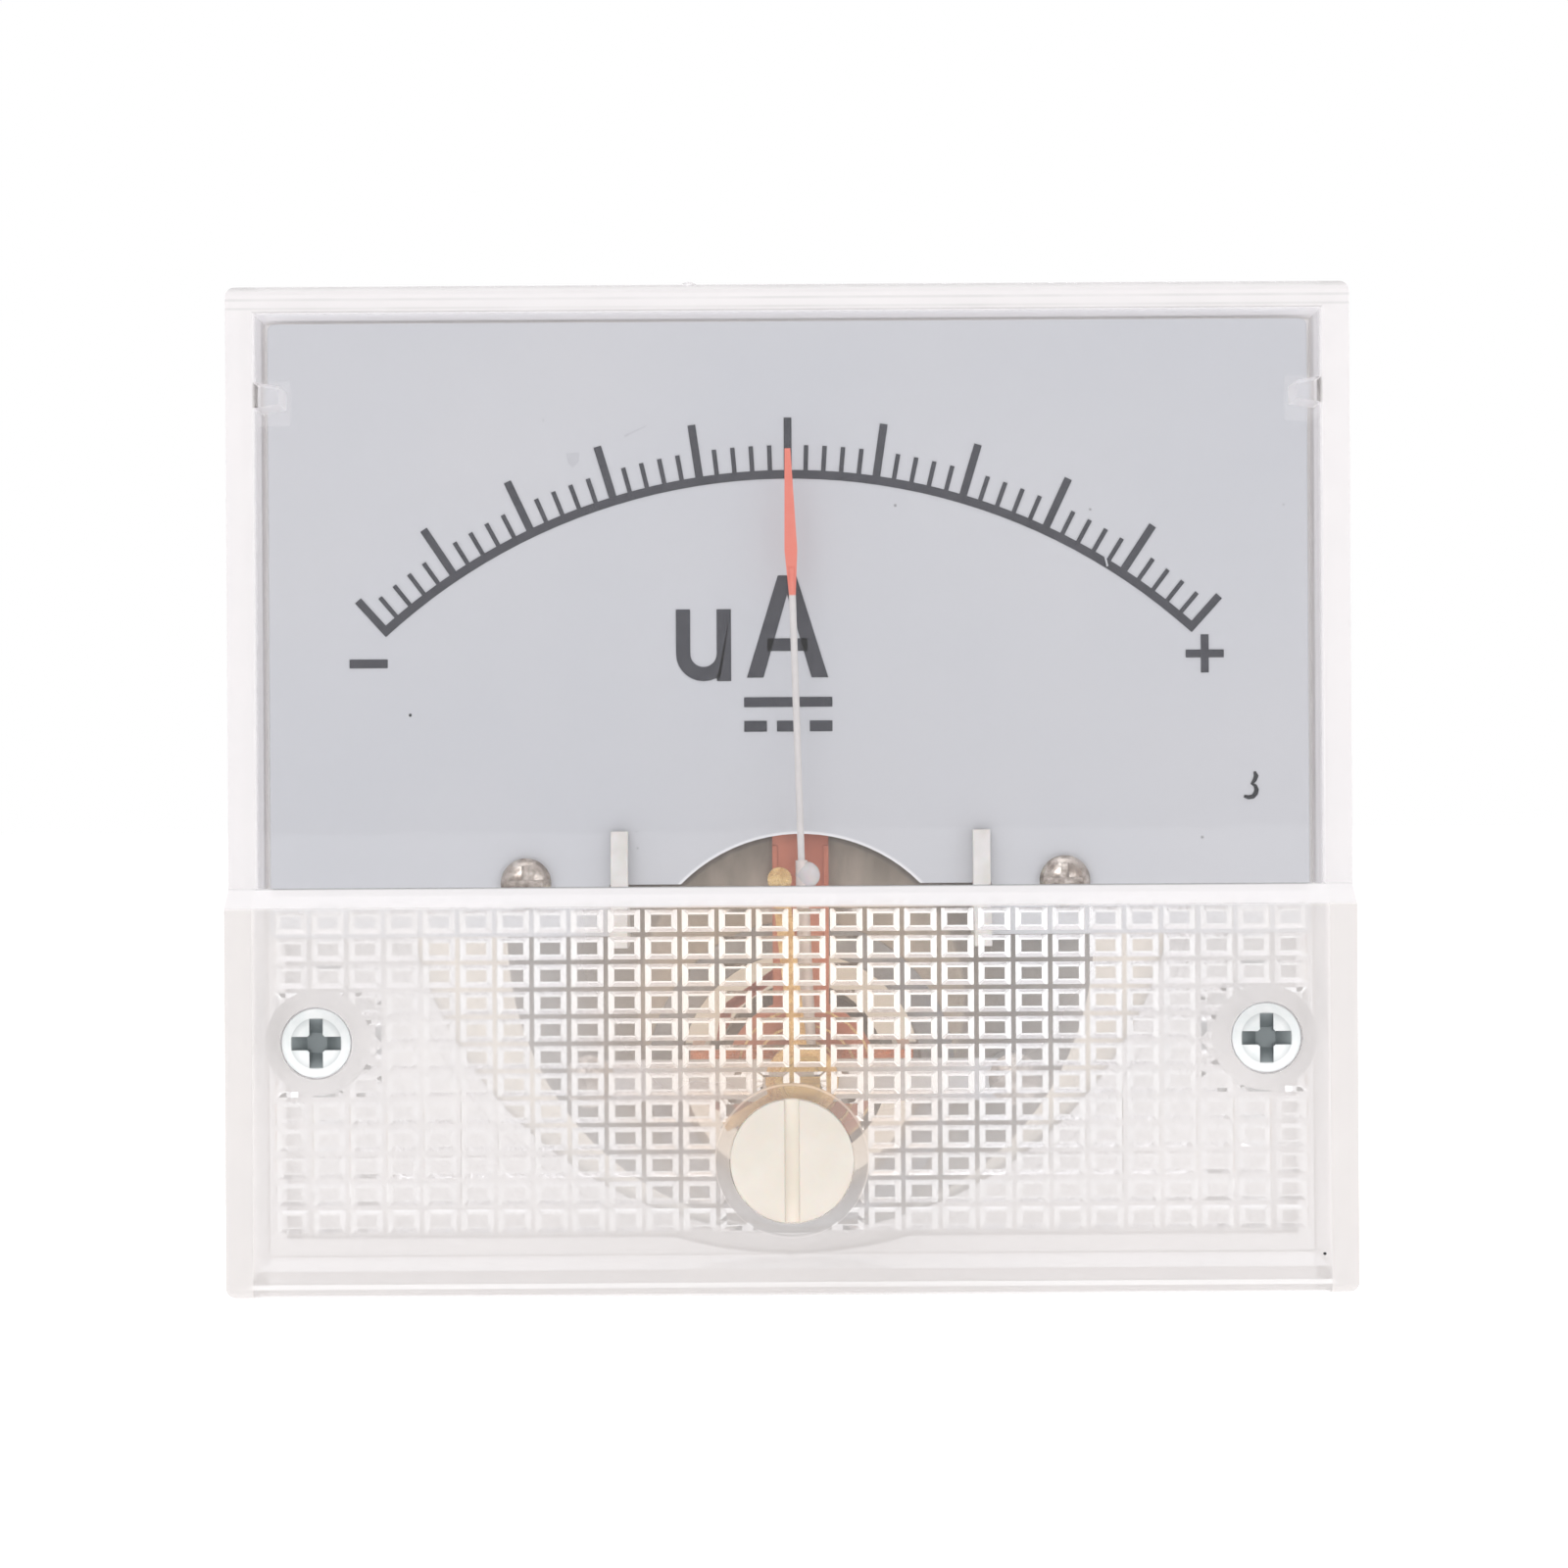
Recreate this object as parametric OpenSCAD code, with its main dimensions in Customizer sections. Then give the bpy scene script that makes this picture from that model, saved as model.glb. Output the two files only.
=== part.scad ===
// Moving-coil panel meter with a clear front cover, centre-zero scale and round rear barrel.
// Millimetres. The front faces -Y and +Z is up. The origin is on the barrel's axis, in the plane
// of the flange's rear face, which seats on the panel.

/* [Front cover] */
// Width of the cover and of the flange behind it
cover_w = 64; // [60:0.5:72]
// Height of the cover and of the flange behind it
cover_h = 57.4; // [55:0.1:63]
// Corner radius of the cover seen from the front
cover_corner_r = 0.6; // [0.3:0.1:1.5]
// Radius along the front edges of the cover
cover_edge_r = 0.5; // [0.2:0.1:0.8]
// Thickness of the cover's side walls
wall = 1.4; // [1.2:0.1:1.8]
// Distance of the window's face in front of the panel
window_front = 12; // [11.6:0.1:13]
// Thickness of the window
window_t = 1.8; // [1.2:0.1:2]
// Distance of the lower panel's face in front of the panel
lower_front = 14.5; // [14.1:0.1:15.5]
// Thickness of the lower panel
lower_t = 2; // [1.6:0.1:2.2]
// Height of the lower panel's upper edge above the bottom edge of the cover
ridge_low = 22; // [20.9:0.1:22.4]
// Rise of the slope between the lower panel and the window
ridge_rise = 1.1; // [0.6:0.1:2]
// Width of the small ribs inside the side walls that hold the dial down
rib_h = 1.5; // [1:0.1:3]
// Reach of those ribs from the side walls
rib_reach = 1.5; // [0.8:0.1:2.5]
// Height of those ribs above the bottom edge of the cover
rib_z = 51.3; // [40.4:0.1:52.4]

/* [Prismatic grid] */
// Width of one grid cell
cell_w = 2.1; // [1.8:0.05:3]
// Height of one grid cell
cell_h = 1.54; // [1.3:0.02:2.4]
// Width of the grooves that run up and down
groove_w = 0.95; // [0.6:0.05:1.2]
// Width of the grooves that run across
groove_h = 0.86; // [0.5:0.02:1]
// Width of the grooves' flat floor
groove_floor = 0.26; // [0.1:0.02:0.4]
// Depth of the grooves
groove_depth = 0.35; // [0.2:0.05:0.8]
// Number of cell rows
grid_rows = 12; // [6:1:12]

/* [Housing] */
// Thickness of the flange
flange_t = 2; // [1.6:0.1:2.5]
// Outer radius of the barrel
barrel_r = 24.3; // [24.1:0.1:24.6]
// Thickness of the barrel's wall
barrel_wall = 1.5; // [1.2:0.05:1.6]
// Length of the barrel behind the panel
barrel_len = 30; // [28:0.5:40]
// Distance of the barrel from the bottom edge of the cover
barrel_inset = 1.1; // [0.8:0.1:3.1]
// Width of the relief round the barrel in the flange's rear face
relief_w = 0.35; // [0.3:0.05:0.5]
// Depth of that relief
relief_depth = 0.5; // [0.3:0.1:1]
// Thickness of the barrel's rear wall
rear_wall = 2; // [1.6:0.1:3]
// Height of the rim on the flange that centres the cover
rim_h = 1.5; // [1:0.1:2]
// Thickness of that rim
rim_t = 1; // [0.6:0.1:1.4]

/* [Dial] */
// Gap between the dial's side edges and the cover's side walls
dial_side_gap = 0.4; // [0.3:0.05:1]
// Thickness of the dial plate
dial_t = 0.6; // [0.4:0.05:0.8]
// Distance of the dial's face in front of the panel
dial_front = 5; // [4.8:0.1:5.4]
// Gap between the dial's top edge and the cover's top wall
dial_top_gap = 0.2; // [0.15:0.05:1]
// Height of the dial's bottom edge above the bottom edge of the cover
dial_bottom = 20.1; // [19.4:0.1:20.6]
// Height of the notch between the pointer stops above the bottom edge of the cover
dial_notch = 23.1; // [22.4:0.1:23.9]
// Radius of the arched cut-out
arch_r = 9.8; // [9:0.1:10.4]
// Height of the arch's centre above the pivot
arch_rise = 4.3; // [3.8:0.1:4.8]

/* [Scale] */
// Radius of the scale line
scale_r = 35; // [32:0.25:36]
// Half angle of the scale
scale_half_angle = 42; // [35:0.5:43]
// Thickness of the scale line
scale_line = 0.5; // [0.3:0.05:0.8]
// Number of long divisions
scale_major = 10; // [4:2:12]
// Number of short divisions in each long one
scale_minor = 5; // [2:1:10]
// Length of the long marks
major_len = 3.3; // [2:0.1:4]
// Length of the two end marks
end_len = 2.4; // [2:0.1:4]
// Length of the short marks
minor_len = 1.7; // [1:0.1:2]
// Width of the long marks
major_w = 0.45; // [0.3:0.05:0.6]
// Width of the short marks
minor_w = 0.26; // [0.15:0.01:0.3]
// Thickness of the printed ink
ink_t = 0.04; // [0.02:0.01:0.1]

/* [Movement] */
// Sideways set of the movement from the centre line of the case
movement_x = 0.6; // [0:0.1:0.6]
// Height of the pivot above the bottom edge of the cover
pivot_h = 11.9; // [11.8:0.1:12.9]
// Distance of the frame's face in front of the panel
frame_front = 2; // [1.8:0.1:2.2]
// Thickness of the movement frame
frame_t = 2; // [1.6:0.1:2.4]
// Radius of the movement frame
frame_r = 17.2; // [16.8:0.1:17.3]
// Height of the frame's centre above the pivot
frame_rise = 8.1; // [8:0.1:8.4]
// Outer radius of the yoke ring
yoke_r = 9; // [8.8:0.05:9.2]
// Radial thickness of the yoke ring
yoke_wall = 1.9; // [1.6:0.05:1.9]
// Radius of the core magnet
core_r = 5; // [4.6:0.05:5.1]
// Length of the core magnet and of the yoke ring
core_len = 9; // [8:0.25:10]
// Width of the core strap
strap_w = 3.3; // [2.8:0.1:3.6]
// Thickness of the core strap
strap_t = 0.6; // [0.4:0.05:0.6]
// Height of the strap's top end above the pivot
strap_top = 20; // [18:0.5:22]
// Distance of each pointer stop from the pivot, sideways
stop_x = 10.5; // [10.4:0.1:11.5]
// Width of the pointer stops
stop_w = 1; // [0.8:0.1:1.4]
// Height of the pointer stops' tops above the pivot
stop_top = 14.3; // [13:0.1:15]
// Distance of the bridge pillars from the pivot, sideways
pillar_x = 12.2; // [11.5:0.1:12.4]
// Radius of the bridge pillars
pillar_r = 1.3; // [1.1:0.05:1.5]
// Thickness of the bridges
bridge_t = 0.8; // [0.6:0.05:1]
// Width of the bridges
bridge_w = 2.4; // [2:0.1:2.4]

/* [Moving coil] */
// Width of the coil across its band
coil_w = 3; // [2.6:0.1:3.2]
// Thickness of the winding
winding_t = 0.75; // [0.5:0.05:0.8]
// Thickness of the former
former_t = 0.3; // [0.25:0.05:0.3]
// Clearance between the core and the inside of the former
coil_gap = 0.45; // [0.4:0.05:0.5]
// Radius of the pivot staffs
staff_r = 0.45; // [0.35:0.05:0.55]
// Outer radius of the hairsprings
hairspring_r = 4.6; // [4:0.1:4.8]
// Number of turns of the hairsprings
hairspring_turns = 4; // [3:1:5]
// Thickness of the hairspring ribbon
ribbon_t = 0.14; // [0.1:0.02:0.2]

/* [Pointer] */
// Height of the pointer's tip above the pivot
pointer_len = 36.4; // [34:0.1:37.5]
// Radius of the pointer's tube
tube_r = 0.2; // [0.15:0.05:0.25]
// Length of the knife-shaped tip
tip_len = 8.4; // [6:0.1:12]
// Largest width of the knife-shaped tip
tip_w = 0.74; // [0.5:0.02:1]
// Sideways set of the tube where it enters its carrier
pointer_offset = 0.4; // [0:0.05:0.5]
// Lean of the tube to the left
pointer_lean = 1.6; // [0:0.1:2]
// Distance of the tube's axis in front of the dial
pointer_gap = 2; // [1.8:0.1:2.2]
// Height of the carrier's socket above the pivot
socket_len = 12.6; // [8:0.1:14]
// Length of the carrier's balance arms
balance_arm = 3.4; // [3:0.1:3.6]
// Width of the balance arms
balance_arm_w = 0.6; // [0.4:0.05:0.7]
// Radius of the side balance weights
weight_r = 0.75; // [0.5:0.05:0.9]
// Length of the side balance weights
weight_len = 1.1; // [0.8:0.1:1.3]
// Radius of the tail weight
tail_r = 0.9; // [0.6:0.05:0.9]
// Length of the tail weight
tail_len = 2.1; // [1.1:0.1:2.2]

/* [Zero adjuster] */
// Height of the adjuster's axis above the bottom edge of the cover
adjuster_h = 7.6; // [7.4:0.1:7.8]
// Radius of the adjuster's head
adjuster_r = 3.5; // [3.2:0.1:3.6]
// Thickness of the adjuster's head
adjuster_head_t = 1.2; // [0.9:0.1:1.2]
// Radius of the adjuster's shaft
adjuster_shaft_r = 2; // [1.6:0.1:2.1]
// Eccentricity of the adjuster's pin
pin_throw = 1; // [0.8:0.05:1.1]
// Radius of the adjuster's pin
pin_r = 0.35; // [0.3:0.05:0.4]
// Outer radius of the boss round the adjuster
adjuster_boss_r = 4.35; // [4.1:0.05:4.5]
// Distance of the boss's end in front of the panel
adjuster_boss_end = 11; // [10.8:0.1:11.4]
// Running clearance of round moving fits
fit = 0.05; // [0.02:0.01:0.08]
// Clearance between parts that are put together by hand
ease = 0.1; // [0.05:0.05:0.2]

/* [Fasteners] */
// Distance of the mounting screws from the side edges of the cover
mount_inset = 5.15; // [4.8:0.05:5.3]
// Height of the mounting screws above the bottom edge of the cover
mount_h = 14.4; // [13.4:0.1:15.4]
// Shank radius of the mounting screws
mount_r = 1.25; // [1:0.05:1.3]
// Radius of the plain cylinder that stands for their thread
mount_thread_r = 1.05; // [0.85:0.01:1.2]
// Head radius of the mounting screws
mount_head_r = 1.95; // [1.8:0.05:2.1]
// Reach of the mounting screws behind the panel plane
mount_reach = 12; // [8:0.5:20]
// Outer radius of the bosses round the mounting screws
mount_boss_r = 3; // [2.8:0.05:3.2]
// Distance between the two dial screws
dial_screw_spacing = 31.3; // [30.5:0.1:31.6]
// Height of the dial screws above the bottom edge of the cover
dial_screw_h = 23.2; // [22.8:0.1:23.6]
// Head radius of the dial screws
dial_head_r = 1.47; // [1.3:0.01:1.6]

/* [Terminals] */
// Distance between the two terminals
terminal_spacing = 24; // [22:0.5:25]
// Radius of the terminal studs
stud_r = 2; // [1.5:0.25:2]
// Reach of the terminal studs behind the barrel
stud_reach = 12; // [12:0.5:18]
// Distance across the flats of the terminal nuts
nut_flats = 7; // [6:0.5:7]
// Thickness of the terminal nuts
nut_t = 3.2; // [2:0.1:3.2]
// Thickness of washers and solder lugs
washer_t = 0.6; // [0.4:0.1:0.8]
// Length of the solder lugs from the stud to the wire hole
lug_len = 10; // [8:0.5:14]
// Width of the solder lugs
lug_w = 3.2; // [2.4:0.1:4]
// Radius of the lugs' wire hole
lug_eye_r = 0.8; // [0.5:0.05:1]
// Radius of the support columns
column_r = 2.6; // [2.4:0.1:2.8]

/* [Hidden] */
$fn = 64;

// A little more than nothing, so that cuts pass through the faces they start from
over = 0.02;

// Heights, measured from the barrel's axis
z_bottom = -barrel_r - barrel_inset;
spigot_r = barrel_r - 0.4;
z_top = z_bottom + cover_h;
z_ridge = z_bottom + ridge_low;
z_pivot = z_bottom + pivot_h;
z_adjuster = z_bottom + adjuster_h;
z_mount = z_bottom + mount_h;
z_dial_screw = z_bottom + dial_screw_h;

// Cover
y_window = -window_front;
y_window_in = y_window + window_t;
y_lower = -lower_front;
y_lower_in = y_lower + lower_t;
inner_w = cover_w - 2 * wall;
// An even count, which puts a groove on the centre line
grid_cols = 2 * floor(inner_w / cell_w / 2);
grid_top = z_ridge - 0.04;
grid_h = grid_rows * cell_h;

// Dial
y_dial = -dial_front;
y_dial_back = y_dial + dial_t;
z_dial_top = z_top - wall - dial_top_gap;
dial_w = inner_w - 2 * dial_side_gap;
z_dial_bottom = z_bottom + dial_bottom;
z_dial_notch = z_bottom + dial_notch;
notch_half_w = stop_x + stop_w / 2 + ease;
stop_foot = 3.6;
stop_slope = 10.5;
stop_nose_top = 8.9;
stop_nose = 1;
stop_tip_t = 0.7;
stop_post_t = 1.1;

// Frame, yoke and core
y_frame = -frame_front;
y_frame_back = y_frame + frame_t;
z_frame = z_pivot + frame_rise;
y_core_back = y_frame + core_len;
y_strap = y_frame - strap_t;
strap_foot_r = core_r - 0.6;
strap_screw_1 = strap_top - 2;
strap_screw_2 = strap_top - 4.6;

// Coil, a rectangular ring round the core
coil_in_r = core_r + coil_gap;
former_out_r = coil_in_r + former_t;
coil_out_r = former_out_r + winding_t;
y_coil_in_front = y_strap - coil_gap;
y_coil_in_back = y_core_back + coil_gap;
y_coil_front = y_coil_in_front - former_t - winding_t;
y_coil_back = y_coil_in_back + former_t + winding_t;
staff_plate_t = 0.3;
staff_plate_r = 1.3;

// Layers in front of the coil
y_pointer = y_dial - pointer_gap;
carrier_t = 0.5;
carrier_hub_r = 1.2;
socket_r = 0.5;
tube_start = 3;
y_front_spring = y_coil_front - staff_plate_t - 0.5;
spring_h = 0.4;
y_bridge_back = y_pointer - carrier_t / 2 - 0.95;
y_bridge = y_bridge_back - bridge_t;
lever_t = 0.4;
y_lever = y_bridge - lever_t;
y_front_tip = y_bridge_back + 0.35;
jewel_r = 1.1;
jewel_nut_r = 1.6;
jewel_nut_t = 0.6;
jewel_stand = 0.4;

// Layers behind the coil
y_rear_spring = y_coil_back + staff_plate_t + 0.5;
y_rear_bridge = y_rear_spring + spring_h + 1.2;
y_rear_bridge_back = y_rear_bridge + bridge_t;
y_rear_tip = y_rear_bridge - 0.35;
tab_r = hairspring_r + 0.35;
tab_w = 0.7;
tab_t = 0.3;
tab_sheet_t = 0.4;
tab_angle = 240;
spring_in_r = staff_r + 0.35;

// Adjuster
adjuster_dome = 0.3;
y_adjuster_seat = y_lower + adjuster_head_t;
y_adjuster_end = -10.3;
y_pin_end = y_lever + lever_t + 0.1;
slot_w = 0.8;
slot_depth = 0.5;
// The fork reaches to the pin, which starts on the far side of the adjuster's axis
pin_dx = -movement_x;
pin_dz = z_adjuster - pin_throw - z_pivot;
fork_len = sqrt(pin_dx * pin_dx + pin_dz * pin_dz);
fork_angle = atan2(pin_dx, -pin_dz);

// Fasteners
mount_head_t = 1.3;
mount_sink = 0.1;
mount_neck = 0.3;
y_mount_seat = y_lower + mount_sink + mount_head_t;
x_mount = cover_w / 2 - mount_inset;
dial_head_t = 1.1;
dial_shank_r = 0.8;
dial_pillar_r = 2.1;
small_head_r = 1.5;
small_head_t = 0.8;
small_shank_r = 0.8;
y_rear_in = barrel_len - rear_wall;
stud_seat = 8;
pad_t = 0.8;
pad_margin = 1.2;
y_pad = barrel_len + pad_t;
bush_t = 0.5;
bush_rim = 0.6;
screw_bite = 4;
small_slot_w = 0.35;
lead_r = 0.35;
nut_r = nut_flats / 2 / cos(30);
lug_hole_r = stud_r + ease;

// Places a shape at a point of the front plane
module at(x, z) {
    translate([x, 0, z]) children();
}

// Places a shape on the pivot axis
module on_pivot() {
    at(movement_x, z_pivot) children();
}

// Extrudes a front view from y0 back to y1
module slab(y0, y1) {
    translate([0, y1, 0]) rotate([90, 0, 0]) linear_extrude(height = y1 - y0) children();
}

// Extrudes a side view, drawn with Y across and Z up, from x0 to x1
module beam(x0, x1) {
    translate([x0, 0, 0]) rotate([90, 0, 90]) linear_extrude(height = x1 - x0) children();
}

// Round rod along Y
module rod(r, y0, y1) {
    translate([0, y1, 0]) rotate([90, 0, 0]) cylinder(r = r, h = y1 - y0);
}

// Turned shape along Y: the profile is drawn with radius across and the distance towards the front up
module turned(y) {
    translate([0, y, 0]) rotate([90, 0, 0]) rotate_extrude() children();
}

// Rectangle with rounded corners, from its lowest to its highest corner
module round_box(x0, z0, x1, z1, r) {
    translate([x0 + r, z0]) square([x1 - x0 - 2 * r, z1 - z0]);
    translate([x0, z0 + r]) square([x1 - x0, z1 - z0 - 2 * r]);
    for (x = [x0 + r, x1 - r], z = [z0 + r, z1 - r]) translate([x, z]) circle(r = r);
}

// Points of an arc from angle a to angle b
function arc(cx, cy, r, a, b, steps) =
    [for (i = [0:steps]) let (t = a + (b - a) * i / steps) [cx + r * cos(t), cy + r * sin(t)]];

// Low domed head over its seat
module dome_profile(r, rim, top) {
    bulge = top - rim;
    ball = (r * r + bulge * bulge) / (2 * bulge);
    half = asin(r / ball);
    polygon(concat([[0, 0], [r, 0]], arc(0, top - ball, ball, 90 - half, 90, 6)));
}

// Side view of the cover's outside: lower panel, slope, window
module cover_side() {
    r = cover_edge_r;
    polygon(concat(
        [[-flange_t, z_bottom]],
        [[-flange_t, z_top]],
        arc(y_window + r, z_top - r, r, 90, 180, 4),
        [[y_window, z_ridge + ridge_rise]],
        [[y_lower, z_ridge]],
        arc(y_lower + r, z_bottom + r, r, 180, 270, 4)));
}

// Side view of the hollow inside the cover
module cover_hollow_side() {
    polygon([
        [-flange_t + over, z_bottom + wall],
        [-flange_t + over, z_top - wall],
        [y_window_in, z_top - wall],
        [y_window_in, z_ridge + ridge_rise * 0.6],
        [y_lower_in, grid_top],
        [y_lower_in, z_bottom + wall]]);
}

// Cross-section of a groove w wide, its floor towards the front
module groove_side(w) {
    polygon([[y_lower_in, -w / 2], [y_lower_in - groove_depth, -groove_floor / 2],
        [y_lower_in - groove_depth, groove_floor / 2], [y_lower_in, w / 2],
        [y_lower_in + over, w / 2], [y_lower_in + over, -w / 2]]);
}

// Grooves, cut into the inner face of the lower panel, leave rows of blunt pyramids
module grid_grooves() {
    x0 = -grid_cols * cell_w / 2;
    z0 = grid_top - grid_h;
    intersection() {
        union() {
            for (i = [0:grid_cols])
                translate([x0 + i * cell_w, 0, z0])
                    linear_extrude(height = grid_h)
                        rotate(90) mirror([0, 1]) groove_side(groove_w);
            for (j = [0:grid_rows])
                translate([x0, 0, z0 + j * cell_h])
                    beam(0, grid_cols * cell_w) groove_side(groove_h);
        }
        translate([x0, y_lower, z0]) cube([grid_cols * cell_w, lower_t + 1, grid_h]);
    }
}

module front_cover() {
    color([0.93, 0.94, 0.95, 0.35])
    difference() {
        union() {
            difference() {
                intersection() {
                    beam(-cover_w / 2, cover_w / 2) cover_side();
                    slab(y_lower - 1, 0)
                        round_box(-cover_w / 2, z_bottom, cover_w / 2, z_top, cover_corner_r);
                }
                beam(-inner_w / 2, inner_w / 2) cover_hollow_side();
                grid_grooves();
            }
            // Boss round the adjuster
            at(0, z_adjuster)
                rod(adjuster_boss_r, y_lower_in - 2 * groove_depth, -adjuster_boss_end);
            // Bosses round the mounting screws, down to the flange
            for (s = [-1, 1])
                at(s * x_mount, z_mount) rod(mount_boss_r, y_lower_in - 2 * groove_depth, -flange_t);
            // Ribs that keep the dial down
            for (s = [0, 1])
                mirror([s, 0, 0])
                    slab(y_window_in - over, y_dial - ease / 2)
                        translate([-inner_w / 2, z_bottom + rib_z])
                            polygon([[-over, -rib_h / 2], [rib_reach, -rib_h / 3],
                                [rib_reach, rib_h / 3], [-over, rib_h / 2]]);
        }
        // Bore and counterbore of the adjuster
        at(0, z_adjuster) {
            rod(adjuster_shaft_r + fit, y_lower - 1, 0);
            rod(adjuster_r + fit, y_lower - 1, y_adjuster_seat);
        }
        // Bores and counterbores of the mounting screws
        for (s = [-1, 1])
            at(s * x_mount, z_mount) {
                rod(mount_r + ease, y_lower - 1, 1);
                rod(mount_head_r + ease, y_lower - 1, y_mount_seat);
            }
    }
}

module zero_adjuster() {
    color([0.94, 0.9, 0.84])
    difference() {
        union() {
            at(0, z_adjuster) {
                turned(y_adjuster_seat)
                    dome_profile(adjuster_r, adjuster_head_t, adjuster_head_t + adjuster_dome);
                rod(adjuster_shaft_r, y_adjuster_seat - over, y_adjuster_end);
            }
            at(0, z_adjuster - pin_throw) rod(pin_r, y_adjuster_end - over, y_pin_end);
        }
        // Screwdriver slot
        translate([-slot_w / 2, y_lower - adjuster_dome - 1, z_adjuster - adjuster_r - 1])
            cube([slot_w, 1 + slot_depth + adjuster_dome / 2, 2 * adjuster_r + 2]);
    }
}

module base_housing() {
    color([0.92, 0.91, 0.89])
    difference() {
        union() {
            slab(-flange_t, 0) round_box(-cover_w / 2, z_bottom, cover_w / 2, z_top, cover_corner_r);
            // Rim that centres the cover
            slab(-flange_t - rim_h, -over) difference() {
                translate([-inner_w / 2 + ease, z_bottom + wall + ease])
                    square([inner_w - 2 * ease, cover_h - 2 * wall - 2 * ease]);
                translate([-inner_w / 2 + ease + rim_t, z_bottom + wall + ease + rim_t])
                    square([inner_w - 2 * ease - 2 * rim_t, cover_h - 2 * wall - 2 * ease - 2 * rim_t]);
            }
        }
        rod(spigot_r, -flange_t - rim_h - 1, 1);
        // Relief that lets the edge of a panel's hole lie flat
        rod(barrel_r + relief_w, -relief_depth, 1);
        for (s = [-1, 1]) {
            at(s * x_mount, z_mount) rod(mount_r + ease, -flange_t - rim_h - 1, 1);
            // The rim stands back round the mounting bosses
            at(s * x_mount, z_mount) rod(mount_boss_r + ease, -flange_t - rim_h - 1, -flange_t);
        }
    }
}

// Can behind the panel: its front end narrows to a spigot that fills the flange's opening
module barrel_shell() {
    color([0.92, 0.91, 0.89])
    difference() {
        union() {
            rod(barrel_r, 0, barrel_len);
            rod(spigot_r, -flange_t, over);
            // Raised pads under the terminals
            for (s = [-1, 1])
                at(s * terminal_spacing / 2, 0) rod(nut_r + pad_margin, barrel_len - over, y_pad);
        }
        rod(barrel_r - barrel_wall, -flange_t - 1, y_rear_in);
        for (s = [-1, 1]) at(s * terminal_spacing / 2, 0) rod(stud_r + ease, y_rear_in - 1, barrel_len + 2);
    }
}

// Front view of the dial plate
module dial_outline() {
    difference() {
        round_box(-dial_w / 2, z_dial_bottom, dial_w / 2, z_dial_top, 0.4);
        // Raised notch between the pointer stops
        translate([movement_x - notch_half_w, z_dial_bottom - 1])
            square([2 * notch_half_w, z_dial_notch - z_dial_bottom + 1]);
        // Arch over the movement
        translate([movement_x, z_pivot + arch_rise]) circle(r = arch_r);
        for (s = [-1, 1])
            translate([movement_x / 2 + s * dial_screw_spacing / 2, z_dial_screw])
                circle(r = dial_shank_r + ease);
    }
}

module dial_plate() {
    color([0.8, 0.81, 0.83])
    slab(y_dial, y_dial_back) dial_outline();
}

// One printed mark, along a radius of the scale
module mark(angle, length, width) {
    rotate(-angle) translate([-width / 2, scale_r]) square([width, length]);
}

module scale_marks() {
    divisions = scale_major * scale_minor;
    end_angle = scale_half_angle + asin(major_w / 2 / scale_r);
    color([0.28, 0.28, 0.31])
    slab(y_dial - ink_t, y_dial) translate([0, z_pivot]) {
        difference() {
            circle(r = scale_r + scale_line / 2, $fn = 180);
            circle(r = scale_r - scale_line / 2, $fn = 180);
            polygon([[0, 0], [60 * sin(end_angle), 60 * cos(end_angle)], [60, -60], [-60, -60],
                [-60 * sin(end_angle), 60 * cos(end_angle)]]);
        }
        for (i = [0:divisions]) {
            angle = scale_half_angle * (2 * i / divisions - 1);
            if (i == 0 || i == divisions) mark(angle, end_len, major_w);
            else if (i % scale_minor == 0) mark(angle, major_len, major_w);
            else mark(angle, minor_len, minor_w);
        }
    }
}

// Domed screw with a crossed slot, its head seated at y and its shank running back
module dome_screw(y, head_r, head_t, shank_r, shank_len, slot) {
    difference() {
        turned(y) dome_profile(head_r, head_t * 0.35, head_t);
        translate([-slot / 2, y - head_t - 1, -head_r * 0.7]) cube([slot, 1 + head_t * 0.45, head_r * 1.4]);
        translate([-head_r * 0.7, y - head_t - 1, -slot / 2]) cube([head_r * 1.4, 1 + head_t * 0.45, slot]);
    }
    rod(shank_r, y - over, y + shank_len);
}

module dial_screws() {
    color([0.78, 0.75, 0.72])
    for (s = [-1, 1])
        at(movement_x / 2 + s * dial_screw_spacing / 2, z_dial_screw)
            dome_screw(y_dial, dial_head_r, dial_head_t, dial_shank_r, frame_front + 1.4, 0.4);
}

// Side view of a stop: foot on the frame, post in front of the dial, nose that meets the pointer
module stop_side() {
    y_post = y_dial - 2 * ease;
    z_foot = z_dial_notch - stop_foot;
    polygon([
        [y_frame, z_foot],
        [y_frame, z_dial_notch - 3 * ease],
        [y_post, z_dial_notch - 3 * ease],
        [y_post, z_pivot + stop_top],
        [y_post - stop_tip_t, z_pivot + stop_top],
        [y_post - stop_post_t, z_pivot + stop_slope],
        [y_pointer - stop_nose, z_pivot + stop_nose_top],
        [y_pointer - stop_nose, z_foot]]);
}

module pointer_stops() {
    color([0.9, 0.86, 0.78])
    for (s = [-1, 1])
        translate([movement_x + s * stop_x, 0, 0]) beam(-stop_w / 2, stop_w / 2) stop_side();
}

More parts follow.
